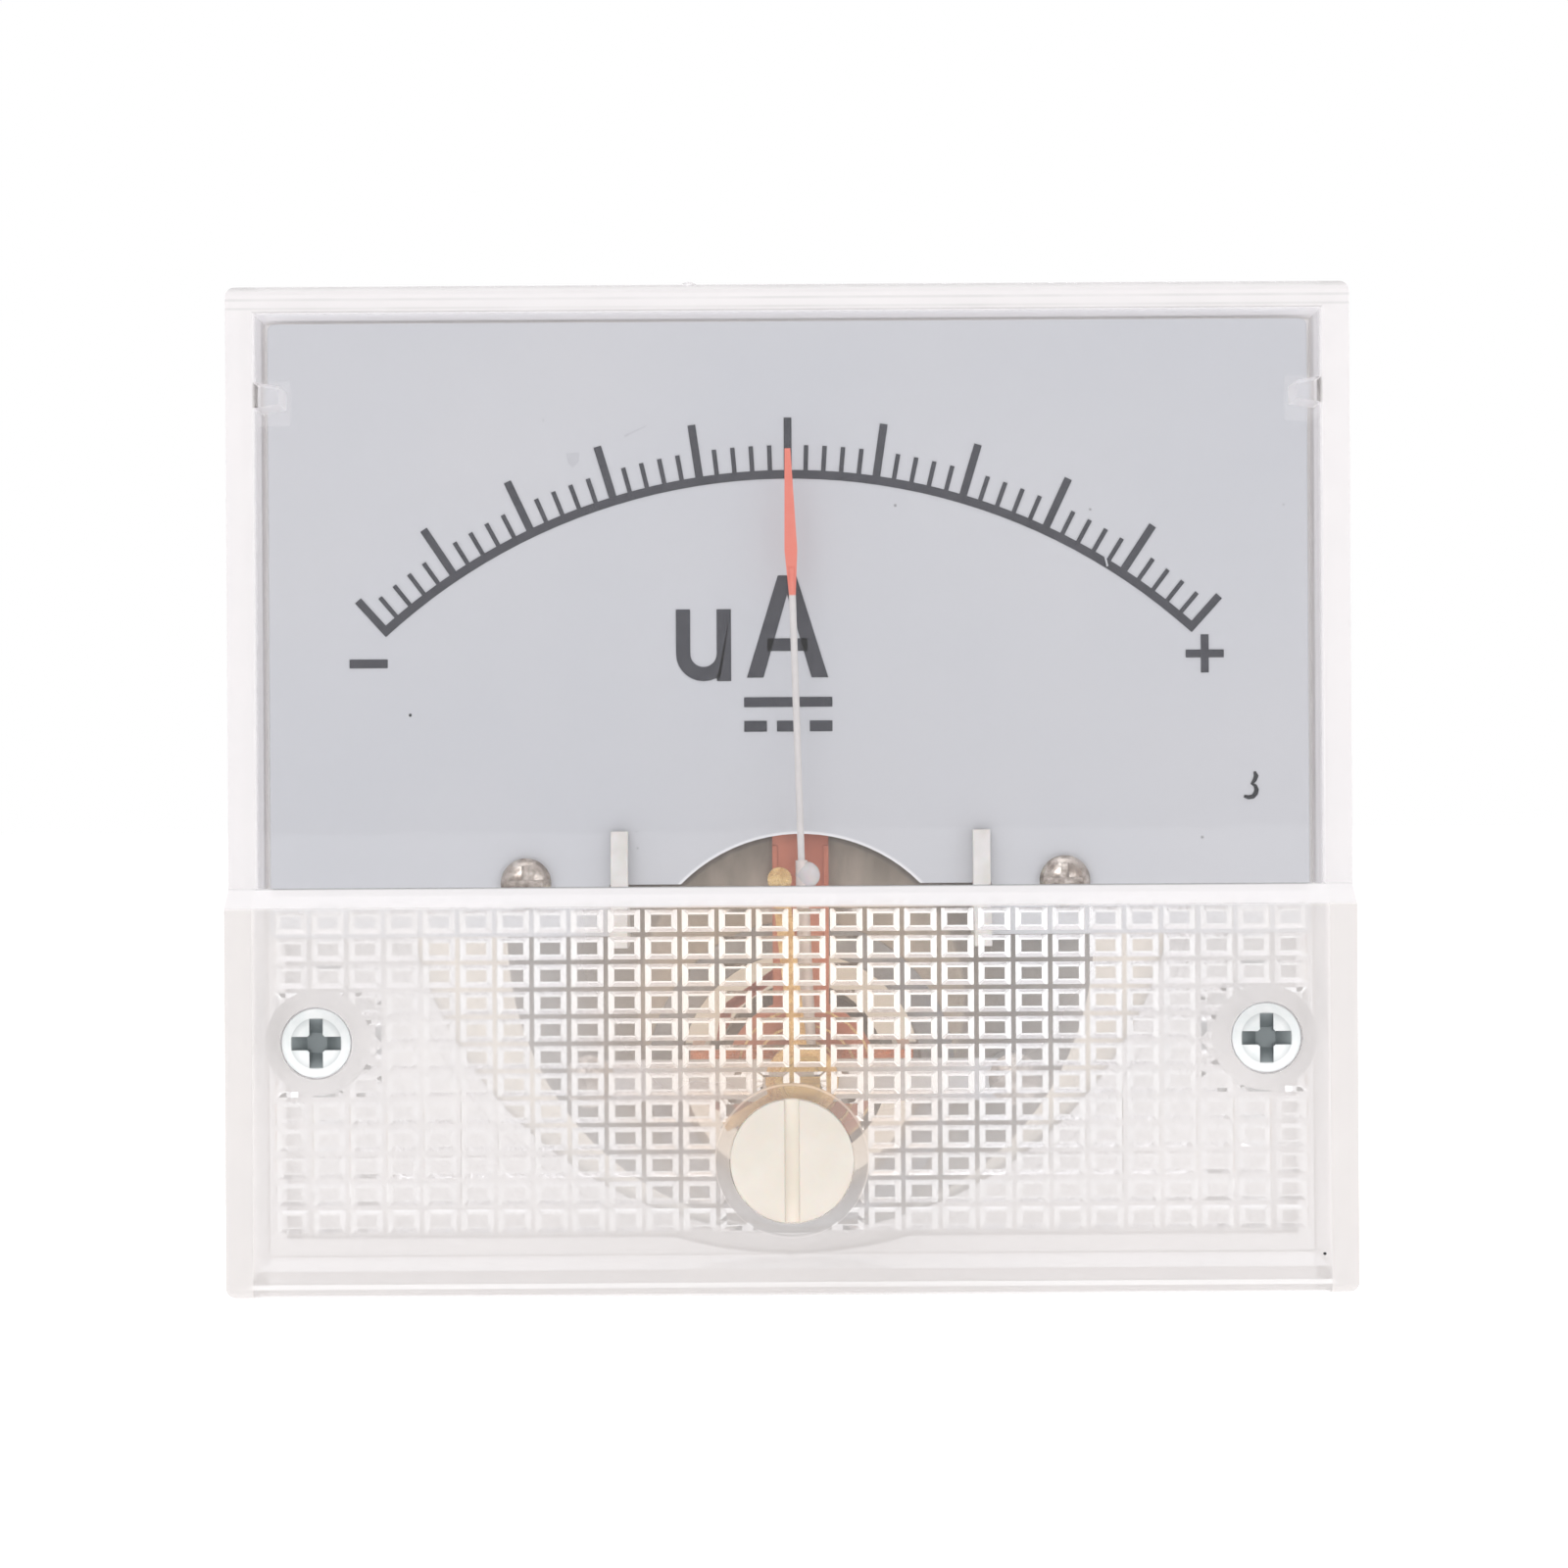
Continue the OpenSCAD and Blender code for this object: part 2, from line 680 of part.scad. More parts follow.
module movement_frame() {
    color([0.55, 0.53, 0.51])
    difference() {
        union() {
            at(movement_x, z_frame) rod(frame_r, y_frame, y_frame_back);
            for (s = [-1, 1])
                at(movement_x / 2 + s * dial_screw_spacing / 2, z_dial_screw)
                    rod(dial_pillar_r, y_dial_back, y_frame + over);
        }
        on_pivot() rod(yoke_r + 0.02, y_frame - 1, y_frame_back + 1);
        for (s = [-1, 1]) {
            at(movement_x + s * pillar_x, z_pivot) rod(pillar_r + 0.02, y_frame - 1, y_frame_back + 1);
            at(s * terminal_spacing / 2, 0) rod(small_shank_r + ease, y_frame - 1, y_frame_back + 1);
            at(movement_x / 2 + s * dial_screw_spacing / 2, z_dial_screw)
                rod(dial_shank_r, y_dial_back - 1, y_frame_back + 1);
        }
        for (h = [strap_screw_1, strap_screw_2])
            at(movement_x, z_pivot + h) rod(small_shank_r / 2 + 0.2, y_frame - 1, y_frame_back + 1);
    }
}

module yoke_ring() {
    color([0.5, 0.5, 0.52])
    on_pivot() difference() {
        rod(yoke_r, y_frame, y_core_back);
        rod(yoke_r - yoke_wall, y_frame - 1, y_core_back + 1);
    }
}

module core_magnet() {
    color([0.4, 0.4, 0.42])
    on_pivot() rod(core_r, y_frame, y_core_back);
}

module core_strap() {
    color([0.75, 0.46, 0.37])
    on_pivot() {
        slab(y_strap, y_frame) difference() {
            union() {
                circle(r = strap_foot_r);
                translate([-strap_w / 2, 0]) square([strap_w, strap_top]);
            }
            for (h = [strap_screw_1, strap_screw_2]) translate([0, h]) circle(r = small_shank_r / 2 + 0.2);
        }
        // Turned-up edges above the coil
        for (s = [0, 1])
            mirror([s, 0, 0])
                translate([strap_w / 2 - 0.3, y_strap - 0.35, coil_out_r + 1.4])
                    cube([0.3, 0.35 + over, strap_screw_2 - coil_out_r - 3.4]);
    }
}

module strap_screws() {
    color([0.75, 0.73, 0.7])
    for (h = [strap_screw_1, strap_screw_2])
        at(movement_x, z_pivot + h)
            dome_screw(y_strap, 1.2, small_head_t, small_shank_r / 2 + 0.1, strap_t + frame_t - 0.2, 0.3);
}

module bridge_pillars() {
    color([0.8, 0.8, 0.8])
    for (s = [-1, 1])
        at(movement_x + s * pillar_x, z_pivot) rod(pillar_r, y_bridge_back, y_rear_bridge);
}

// Flat bar from pillar to pillar with round ends and a threaded eye for the jewel screw
module bridge(y0, y1) {
    on_pivot() slab(y0, y1) difference() {
        union() {
            translate([-pillar_x, -bridge_w / 2]) square([2 * pillar_x, bridge_w]);
            for (s = [-1, 1]) translate([s * pillar_x, 0]) circle(r = bridge_w / 2 + 0.3);
            circle(r = jewel_nut_r + 0.4);
        }
        circle(r = jewel_r + 0.02);
        for (s = [-1, 1]) translate([s * pillar_x, 0]) circle(r = small_shank_r + ease);
    }
}

module front_bridge() {
    color([0.83, 0.83, 0.84]) bridge(y_bridge, y_bridge_back);
}

module rear_bridge() {
    color([0.83, 0.83, 0.84]) bridge(y_rear_bridge, y_rear_bridge_back);
}

module bridge_screws() {
    color([0.78, 0.76, 0.74])
    for (s = [-1, 1])
        at(movement_x + s * pillar_x, z_pivot) {
            dome_screw(y_bridge, small_head_r, small_head_t, small_shank_r, bridge_t - fit,
                small_slot_w);
            translate([0, 2 * y_rear_bridge_back, 0]) mirror([0, 1, 0])
                dome_screw(y_rear_bridge_back, small_head_r, small_head_t, small_shank_r,
                    bridge_t - fit, small_slot_w);
        }
}

// Jewel screw: slotted rod with a cup at its end that holds the pivot, drawn for the front
module jewel_screw(y_outer, y_inner) {
    difference() {
        rod(jewel_r, y_outer, y_inner);
        // Cup of the jewel
        translate([0, y_inner + over, 0]) rotate([90, 0, 0]) cylinder(r1 = 0.62, r2 = 0, h = 0.75);
        translate([-jewel_r - 1, y_outer - 1, -0.15]) cube([2 * jewel_r + 2, 1.4, 0.3]);
    }
}

module front_jewel_screw() {
    color([0.8, 0.68, 0.4])
    on_pivot() jewel_screw(y_lever - jewel_nut_t - jewel_stand, y_front_tip);
}

module rear_jewel_screw() {
    color([0.8, 0.68, 0.4])
    on_pivot() translate([0, y_rear_tip, 0]) mirror([0, 1, 0])
        jewel_screw(y_rear_tip - y_rear_bridge_back - jewel_nut_t - jewel_stand, 0);
}

module hex_nut(r, bore, y0, y1) {
    slab(y0, y1) difference() {
        circle(r = r, $fn = 6);
        circle(r = bore);
    }
}

module jewel_nuts() {
    color([0.8, 0.68, 0.4])
    on_pivot() {
        hex_nut(jewel_nut_r, jewel_r + 0.02, y_lever - jewel_nut_t, y_lever);
        hex_nut(jewel_nut_r, jewel_r + 0.02, y_rear_bridge_back, y_rear_bridge_back + jewel_nut_t);
    }
}

// Lever on the front jewel screw: fork below for the adjuster's pin, tab behind for the hairspring,
// long arm above for setting it by hand
module zero_lever() {
    arm_w = 1;
    arm_angle = 6;
    arm_len = 11.6;
    color([0.85, 0.7, 0.35])
    on_pivot() {
        slab(y_lever, y_bridge) difference() {
            union() {
                circle(r = jewel_nut_r + 0.5);
                rotate(fork_angle + 180) translate([-1.1, 0]) square([2.2, fork_len + 0.9]);
                rotate(arm_angle) translate([-arm_w / 2, 0]) square([arm_w, arm_len]);
                rotate(arm_angle) translate([0, arm_len]) circle(r = arm_w * 0.7);
                rotate(-tab_angle) translate([-tab_w / 2, 0]) square([tab_w, tab_r + tab_t / 2 + 0.05]);
            }
            circle(r = jewel_r + fit);
            rotate(fork_angle + 180)
                translate([-pin_r - 0.08, fork_len - 0.9]) square([2 * pin_r + 0.16, 2]);
        }
        // Tab that reaches back to the hairspring
        rotate([0, tab_angle, 0])
            translate([-tab_w / 2, y_bridge - over, tab_r + 0.2 - tab_t])
                cube([tab_w, y_front_spring - y_bridge + over, tab_t]);
    }
}

// Flat spiral ribbon
module spiral(r_in, r_out, turns, thick, start) {
    steps = turns * 20;
    function point(i, side) = let (r = r_in + (r_out - r_in) * i / steps + side * thick / 2,
        t = start + 360 * turns * i / steps) [r * sin(t), r * cos(t)];
    polygon(concat([for (i = [0:steps]) point(i, -1)], [for (i = [steps:-1:0]) point(i, 1)]));
}

module front_hairspring() {
    color([0.85, 0.7, 0.35])
    on_pivot() slab(y_front_spring - spring_h, y_front_spring)
        spiral(spring_in_r, hairspring_r, hairspring_turns, ribbon_t, tab_angle);
}

module rear_hairspring() {
    color([0.85, 0.7, 0.35])
    on_pivot() slab(y_rear_spring, y_rear_spring + spring_h)
        spiral(spring_in_r, hairspring_r, hairspring_turns, ribbon_t, tab_angle);
}

// Tab under the rear bridge that holds the outer end of the rear hairspring
module rear_spring_tab() {
    color([0.85, 0.7, 0.35])
    on_pivot() {
        slab(y_rear_bridge - tab_sheet_t, y_rear_bridge) difference() {
            union() {
                circle(r = jewel_nut_r + 0.5);
                rotate(-tab_angle) translate([-tab_w / 2, 0]) square([tab_w, tab_r + tab_t / 2 + 0.05]);
            }
            circle(r = jewel_r + fit);
        }
        rotate([0, tab_angle, 0])
            translate([-tab_w / 2, y_rear_spring, tab_r + 0.2 - tab_t])
                cube([tab_w, y_rear_bridge - y_rear_spring - tab_sheet_t + 0.1, tab_t]);
    }
}

// Band that runs round the core over its two ends, as a frame in the plane of the pivot axis
module coil_band(inset, thick) {
    x1 = coil_in_r + inset;
    y1 = y_coil_in_front - inset;
    y2 = y_coil_in_back + inset;
    on_pivot() translate([0, 0, -coil_w / 2]) linear_extrude(height = coil_w) difference() {
        translate([-x1 - thick, y1 - thick]) square([2 * (x1 + thick), y2 - y1 + 2 * thick]);
        translate([-x1, y1]) square([2 * x1, y2 - y1]);
    }
}

module coil_former() {
    color([0.85, 0.85, 0.87]) coil_band(0, former_t);
}

module coil_winding() {
    color([0.8, 0.45, 0.2]) coil_band(former_t, winding_t);
}

// Staff with its glued plate and its conical pivot, pointing to the front
module staff(y_plate, y_tip) {
    cone = 0.4;
    turned(y_plate) polygon([[0, 0], [staff_plate_r, 0], [staff_plate_r, staff_plate_t],
        [staff_r, staff_plate_t], [staff_r, y_plate - y_tip - cone], [0.05, y_plate - y_tip],
        [0, y_plate - y_tip]]);
}

module front_staff() {
    color([0.6, 0.6, 0.62]) on_pivot() staff(y_coil_front, y_front_tip - 0.5);
}

module rear_staff() {
    color([0.6, 0.6, 0.62])
    on_pivot() translate([0, y_coil_back, 0]) mirror([0, 1, 0]) staff(0, y_coil_back - y_rear_tip - 0.5);
}

// Cross on the front staff: socket for the pointer above, three short balance arms
module pointer_carrier() {
    color([0.8, 0.8, 0.8])
    on_pivot() difference() {
        union() {
            slab(y_pointer - carrier_t / 2, y_pointer + carrier_t / 2) {
                circle(r = carrier_hub_r);
                translate([-balance_arm, -balance_arm_w / 2]) square([2 * balance_arm, balance_arm_w]);
                translate([-balance_arm_w / 2, weight_len - balance_arm - tail_len])
                    square([balance_arm_w, balance_arm + tail_len - weight_len]);
            }
            translate([pointer_offset, y_pointer, 0]) rotate([0, -pointer_lean, 0])
                cylinder(r1 = socket_r, r2 = tube_r + 0.15, h = socket_len);
        }
        rod(staff_r + 0.01, y_pointer - 2, y_pointer + 2);
        translate([pointer_offset, y_pointer, 0]) rotate([0, -pointer_lean, 0])
            translate([0, 0, tube_start]) cylinder(r = tube_r + 0.01, h = socket_len);
    }
}

// Sleeves on the carrier's short arms; the heavy one hangs on the tail
module balance_weights() {
    weights = [[90, weight_r, weight_len], [270, weight_r, weight_len], [180, tail_r, tail_len]];
    color([0.75, 0.6, 0.4])
    on_pivot() for (weight = weights)
        rotate([0, weight[0], 0]) translate([0, y_pointer, balance_arm - weight_len]) difference() {
            cylinder(r = weight[1], h = weight[2]);
            translate([-balance_arm_w / 2 - 0.01, -carrier_t / 2 - 0.01, -1])
                cube([balance_arm_w + 0.02, carrier_t + 0.02, weight[2] + 2]);
        }
}

module pointer() {
    tip_base = pointer_len - tip_len;
    half = tip_w / 2;
    color([0.93, 0.5, 0.45])
    on_pivot() translate([pointer_offset, y_pointer, 0]) rotate([0, -pointer_lean, 0]) {
        translate([0, 0, tube_start]) cylinder(r = tube_r, h = tip_base + 1.5 - tube_start);
        // Knife-shaped tip, flat against the dial
        translate([0, 0.08, 0]) rotate([90, 0, 0]) linear_extrude(height = 0.16)
            polygon([[-tube_r, tip_base], [-half, tip_base + tip_len * 0.3], [-half * 0.45, pointer_len],
                [half * 0.45, pointer_len], [half, tip_base + tip_len * 0.3], [tube_r, tip_base]]);
    }
}

// Columns that hold the frame off the rear wall; the live one stands on an insulating bush
module support_columns() {
    color([0.78, 0.68, 0.42])
    for (s = [-1, 1]) {
        y0 = s > 0 ? y_frame_back + bush_t : y_frame_back;
        at(s * terminal_spacing / 2, 0) difference() {
            rod(column_r, y0, y_rear_in);
            rod(small_shank_r + 0.02, y0 - 1, y0 + screw_bite + 1);
            rod(stud_r + 0.02, y_rear_in - stud_seat, y_rear_in + 1);
        }
    }
}

module insulating_bush() {
    color([0.35, 0.25, 0.2])
    at(terminal_spacing / 2, 0) difference() {
        rod(column_r + bush_rim, y_frame_back, y_frame_back + bush_t);
        rod(small_shank_r + ease, y_frame_back - 1, y_frame_back + bush_t + 1);
    }
}

module column_screws() {
    color([0.78, 0.76, 0.74])
    for (s = [-1, 1])
        at(s * terminal_spacing / 2, 0)
            dome_screw(y_frame, small_head_r, small_head_t, small_shank_r, frame_t + screw_bite,
                small_slot_w);
}

// Wire along a list of points
module wire(points, r) {
    for (i = [0:len(points) - 2]) {
        d = points[i + 1] - points[i];
        length = norm(d);
        translate(points[i]) {
            sphere(r = r * 1.05);
            rotate([0, acos(d[2] / length), atan2(d[1], d[0])]) cylinder(r = r, h = length);
        }
    }
    translate(points[len(points) - 1]) sphere(r = r * 1.05);
}

// Lead from the rear hairspring's tab to the live column
module lead_wire() {
    x_tab = movement_x - tab_r;
    y_tab = y_rear_bridge + tab_sheet_t;
    z_tab = z_pivot - hairspring_r / 2 - 0.3;
    y_joint = y_rear_in - stud_seat - 0.5;
    color([0.75, 0.2, 0.15])
    wire([[x_tab - 0.05, y_tab, z_tab], [x_tab - 0.45, y_tab + 2.4, z_tab], [-4, y_joint - 2, z_pivot + 3],
        [4, y_joint, -5], [terminal_spacing / 2 - column_r - lead_r, y_joint, 0]], lead_r);
}

module terminal_studs() {
    color([0.8, 0.7, 0.42])
    for (s = [-1, 1])
        at(s * terminal_spacing / 2, 0) rod(stud_r, y_rear_in - stud_seat + 0.5, barrel_len + stud_reach);
}

module terminal_nuts() {
    color([0.8, 0.7, 0.42])
    for (s = [-1, 1])
        at(s * terminal_spacing / 2, 0) {
            hex_nut(nut_r, stud_r + 0.02, y_pad + washer_t, y_pad + washer_t + nut_t);
            hex_nut(nut_r, stud_r + 0.02, y_pad + 3 * washer_t + nut_t, y_pad + 3 * washer_t + 2 * nut_t);
        }
}

module terminal_washers() {
    color([0.75, 0.74, 0.72])
    for (s = [-1, 1], y = [y_pad, y_pad + 2 * washer_t + nut_t])
        at(s * terminal_spacing / 2, 0) difference() {
            rod(nut_r, y, y + washer_t);
            rod(lug_hole_r, y - 1, y + 2);
        }
}

module solder_lugs() {
    y = y_pad + washer_t + nut_t;
    color([0.85, 0.84, 0.8])
    for (s = [-1, 1])
        at(s * terminal_spacing / 2, 0) slab(y, y + washer_t) difference() {
            union() {
                circle(r = nut_r);
                translate([-lug_w / 2, 0]) square([lug_w, lug_len]);
                translate([0, lug_len]) circle(r = lug_w / 2);
            }
            circle(r = lug_hole_r);
            translate([0, lug_len]) circle(r = lug_eye_r);
        }
}

module mounting_screws() {
    cross_len = 2.8;
    cross_w = 0.76;
    cross_depth = 0.9;
    cross_core_r = 0.62;
    y_top = y_mount_seat - mount_head_t;
    color([0.86, 0.88, 0.9])
    for (s = [-1, 1])
        at(s * x_mount, z_mount) difference() {
            union() {
                turned(y_mount_seat) dome_profile(mount_head_r, mount_head_t * 0.85, mount_head_t);
                rod(mount_r, y_mount_seat - over, mount_neck);
                rod(mount_thread_r, mount_neck - over, mount_reach);
            }
            // Cross recess, its arms running out towards the rim
            rod(cross_core_r, y_top - 1, y_top + cross_depth / 2);
            for (a = [0, 90])
                rotate([0, a, 0])
                    translate([0, 0, -cross_w / 2]) linear_extrude(height = cross_w)
                        polygon([[-cross_len / 2, y_top - 1], [-cross_len / 2, y_top + 0.15],
                            [-cross_len / 5, y_top + cross_depth], [cross_len / 5, y_top + cross_depth],
                            [cross_len / 2, y_top + 0.15], [cross_len / 2, y_top - 1]]);
        }
}

front_cover();
zero_adjuster();
base_housing();
barrel_shell();
dial_plate();
scale_marks();
dial_screws();
pointer_stops();
movement_frame();
yoke_ring();
core_magnet();
core_strap();
strap_screws();
bridge_pillars();
front_bridge();
rear_bridge();
bridge_screws();
front_jewel_screw();
rear_jewel_screw();
jewel_nuts();
zero_lever();
front_hairspring();
rear_hairspring();
rear_spring_tab();
coil_former();
coil_winding();
front_staff();
rear_staff();
pointer_carrier();
balance_weights();
pointer();
support_columns();
column_screws();
insulating_bush();
lead_wire();
terminal_studs();
terminal_nuts();
terminal_washers();
solder_lugs();
mounting_screws();
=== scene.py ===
"""Looks of the moving-coil panel meter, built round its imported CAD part.

Metres, in the part's own frame: the front faces -Y, +Z is up, and the origin is on the
barrel's axis in the panel plane.
"""

import math
import random

import bpy
from mathutils import Matrix, Vector


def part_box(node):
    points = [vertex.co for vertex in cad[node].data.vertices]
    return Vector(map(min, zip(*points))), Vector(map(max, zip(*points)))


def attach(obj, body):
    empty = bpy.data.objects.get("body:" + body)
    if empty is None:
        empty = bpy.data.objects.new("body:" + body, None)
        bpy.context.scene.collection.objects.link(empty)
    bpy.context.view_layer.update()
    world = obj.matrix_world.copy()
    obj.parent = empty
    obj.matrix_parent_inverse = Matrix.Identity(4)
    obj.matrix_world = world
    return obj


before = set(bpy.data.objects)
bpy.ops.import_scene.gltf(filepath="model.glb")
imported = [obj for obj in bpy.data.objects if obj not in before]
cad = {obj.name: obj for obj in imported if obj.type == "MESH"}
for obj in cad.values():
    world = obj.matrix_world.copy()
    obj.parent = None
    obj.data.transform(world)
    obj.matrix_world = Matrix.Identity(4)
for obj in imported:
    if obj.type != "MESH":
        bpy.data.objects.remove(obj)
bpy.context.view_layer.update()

MM = 0.001
SEED = 7

# Planes and axes of the CAD part, in millimetres
Y_DIAL = -5.0
Y_INK = -5.04
Y_POINTER = -7.0
ADJUSTER = (0.0, -17.8)
MOUNT_X, MOUNT_Z = 26.85, -11.0
TERMINAL_X = 12.0
Z_TIP_BASE = 14.4
Z_FLOOR = -25.4
Z_TOP = 32.0
Z_RIDGE = -3.4
Y_LOWER = -14.5
Y_WINDOW = -12.0
Y_REAR = 30.0
# Distances from the middle where the cover's side walls begin, and where their outer skin does
X_INNER = 30.3
X_OUTER = 31.8
# Catches on the inner side walls: nearest place to the middle, and lowest and highest edge
CATCH_X = 28.3
CATCH_Z = (24.0, 26.8)

# Painted sheen of the cover's walls, light drawn on the clear plastic: front edges, inner faces and outer
# sides
WALL_SHEEN = 0.85
INNER_SHEEN = 0.6
SIDE_SHEEN = 0.3
# Painted sheen of the ridge over the lower panel, its painted glow, and painted sheen of the catches
RIDGE_SHEEN = 0.9
RIDGE_GLOW = 0.17
CATCH_SHEEN = 0.3
# Painted lines of shade along the front edge of the top wall: height and half width
TOP_SHADE_LINES = ((31.9, 0.12), (31.22, 0.07), (30.72, 0.06))
# Painted sheen of the lower panel, least in a patch that is wider than high
PANEL_SHEEN = (0.1, 0.55)
SHEEN_CENTRE = (3.0, -5.0)
SHEEN_WIDE = 1.5
SHEEN_NEAR, SHEEN_FAR = 5.0, 16.5
# Painted bright ring of the lower panel round the adjuster: inner and outer radius, and strength of its
# sheen
RING_RADII = (4.15, 4.5)
RING_SHEEN = 0.6
# Warm light round the coil: centre, and radii where it is full and where it ends
WARM_CENTRE = (-0.5, -8.5)
WARM_FULL, WARM_END = 4.0, 13.0
# Painted glow for light that comes through the barrel's wall, and through the adjuster round its slot
BARREL_GLOW = 0.3
SLOT_GLOW = 0.17
SLOT_HALF = 0.4
# Arched cut-out of the dial: axis and radius
ARCH = (0.6, -9.2)
ARCH_R = 9.8
# Cross recess of the mounting screws: radius where its painted shade ends
CROSS_R = 1.48

# Thread of the mounting screws: start and end behind the panel, root, crest and pitch; then of the studs
MOUNT_THREAD = (0.6, 11.8, 1.05, 1.25, 0.45)
STUD_ROOT, STUD_CREST, STUD_PITCH = 2.0, 2.14, 0.7
# Signs on the rear wall: height of their middle, length and thickness of half a bar, and relief
SIGN_Z, SIGN_ARM, SIGN_HALF, SIGN_RELIEF = 13.0, 1.3, 0.22, 0.25
# Thickness of what lies on the dial besides ink
FILM_T = 0.01


# ---------------------------------------------------------------- colour and shader helpers

def srgb(r, g, b):
    """Linear colour of an 8-bit sRGB one."""
    def channel(v):
        v /= 255.0
        return v / 12.92 if v <= 0.04045 else ((v + 0.055) / 1.055) ** 2.4
    return (channel(r), channel(g), channel(b), 1.0)


class Graph:
    """Node tree of one material, with the texture blocks that the finishes share."""

    def __init__(self, name):
        self.mat = bpy.data.materials.new(name)
        self.mat.use_nodes = True
        self.nodes = self.mat.node_tree.nodes
        self.links = self.mat.node_tree.links
        self.shader = self.nodes["Principled BSDF"]
        self.output = self.nodes["Material Output"]
        self.coords = self.nodes.new("ShaderNodeTexCoord").outputs["Object"]
        self.normal = None

    def set(self, **values):
        for key, value in values.items():
            self.shader.inputs[key.replace("_", " ")].default_value = value
        return self

    def node(self, kind, links=None, **settings):
        n = self.nodes.new(kind)
        for key, value in settings.items():
            setattr(n, key, value)
        for key, value in (links or {}).items():
            if isinstance(value, bpy.types.NodeSocket):
                self.links.new(value, n.inputs[key])
            else:
                n.inputs[key].default_value = value
        return n

    def mapped(self, scale=(1, 1, 1), move=(0, 0, 0)):
        """Object coordinates, moved and then scaled."""
        m = self.node("ShaderNodeMapping", {"Vector": self.coords, "Location": move}, vector_type="POINT")
        m.inputs["Scale"].default_value = scale
        return m.outputs["Vector"]

    def noise(self, size_mm, detail=3.0, stretch=(1, 1, 1), rough=0.55):
        """Noise whose features measure about size_mm."""
        n = self.node("ShaderNodeTexNoise", {
            "Vector": self.mapped(stretch), "Scale": 1.0 / (size_mm * MM), "Detail": detail,
            "Roughness": rough})
        return n.outputs["Fac"]

    def wave(self, pitch_mm, direction="Z", rings=False, centre=(0, 0, 0), distort=0.0):
        """Even bands, or rings about an axis through centre (millimetres)."""
        move = tuple(-c * MM for c in centre)
        n = self.node("ShaderNodeTexWave", {
            "Vector": self.mapped(move=move), "Scale": 0.31416 / (pitch_mm * MM), "Distortion": distort},
            wave_type="RINGS" if rings else "BANDS")
        if rings:
            n.rings_direction = direction
        else:
            n.bands_direction = direction
        return n.outputs["Fac"]

    def ramp(self, value, low, high, a, b):
        """Maps value from low..high to a..b, clamped."""
        m = self.node("ShaderNodeMapRange", {
            "Value": value, "From Min": low, "From Max": high, "To Min": a, "To Max": b})
        return m.outputs["Result"]

    def mix(self, factor, a, b):
        m = self.node("ShaderNodeMix", data_type="RGBA")
        for socket, value in ((m.inputs[0], factor), (m.inputs[6], a), (m.inputs[7], b)):
            if isinstance(value, bpy.types.NodeSocket):
                self.links.new(value, socket)
            else:
                socket.default_value = value
        return m.outputs[2]

    def maths(self, operation, a, b=0.0):
        m = self.node("ShaderNodeMath", operation=operation)
        for socket, value in ((m.inputs[0], a), (m.inputs[1], b)):
            if isinstance(value, bpy.types.NodeSocket):
                self.links.new(value, socket)
            else:
                socket.default_value = value
        return m.outputs[0]

    def step(self, value, low_mm, high_mm):
        """Rises from 0 at one place to 1 at the other."""
        low, high = sorted((low_mm, high_mm))
        a, b = (0.0, 1.0) if low_mm < high_mm else (1.0, 0.0)
        return self.ramp(value, low * MM, high * MM, a, b)

    def blend(self, factor, a, b):
        """Mixes two shaders."""
        m = self.node("ShaderNodeMixShader")
        for socket, value in zip(m.inputs, (factor, a, b)):
            if isinstance(value, bpy.types.NodeSocket):
                self.links.new(value, socket)
            else:
                socket.default_value = value
        return m.outputs[0]

    def axis(self, name):
        return self.node("ShaderNodeSeparateXYZ", {"Vector": self.coords}).outputs[name]

    def colour(self, socket):
        self.links.new(socket, self.shader.inputs["Base Color"])
        return self

    def roughness(self, socket):
        self.links.new(socket, self.shader.inputs["Roughness"])
        return self

    def bevel(self, radius_mm):
        """Rounds the look of sharp edges."""
        b = self.node("ShaderNodeBevel", {"Radius": radius_mm * MM}, samples=3)
        self.normal = b.outputs["Normal"]
        self.links.new(self.normal, self.shader.inputs["Normal"])
        return self

    def bump(self, height, depth_mm, strength=1.0):
        """Adds relief of depth_mm to what the normal already has."""
        links = {"Height": height, "Distance": depth_mm * MM, "Strength": strength}
        if self.normal is not None:
            links["Normal"] = self.normal
        b = self.node("ShaderNodeBump", links)
        self.normal = b.outputs["Normal"]
        self.links.new(self.normal, self.shader.inputs["Normal"])
        return self


def mottled(name, base, other, size_mm, rough=(0.3, 0.5), metallic=0.0, edge=0.08, grain=None,
            stretch=(1, 1, 1)):
    """General finish: two close colours in patches, uneven roughness, softened edges, fine grain."""
    g = Graph(name)
    g.set(Metallic=metallic)
    g.set(Base_Color=base, Roughness=sum(rough) / 2)
    patches = g.ramp(g.noise(size_mm, 4.0, stretch), 0.35, 0.65, 0.0, 1.0)
    g.colour(g.mix(patches, base, other))
    g.roughness(g.ramp(g.noise(size_mm * 0.6, 3.0, stretch), 0.3, 0.7, rough[0], rough[1]))
    if edge:
        g.bevel(edge)
    if grain:
        g.bump(g.noise(grain[0], 2.0, stretch), grain[1])
    return g


# ---------------------------------------------------------------- finishes

def distance(g, a, centre_a, b, centre_b):
    """Distance from an axis, given in millimetres."""
    da, db = g.maths("SUBTRACT", a, centre_a * MM), g.maths("SUBTRACT", b, centre_b * MM)
    return g.maths("SQRT", g.maths("ADD", g.maths("MULTIPLY", da, da), g.maths("MULTIPLY", db, db)))


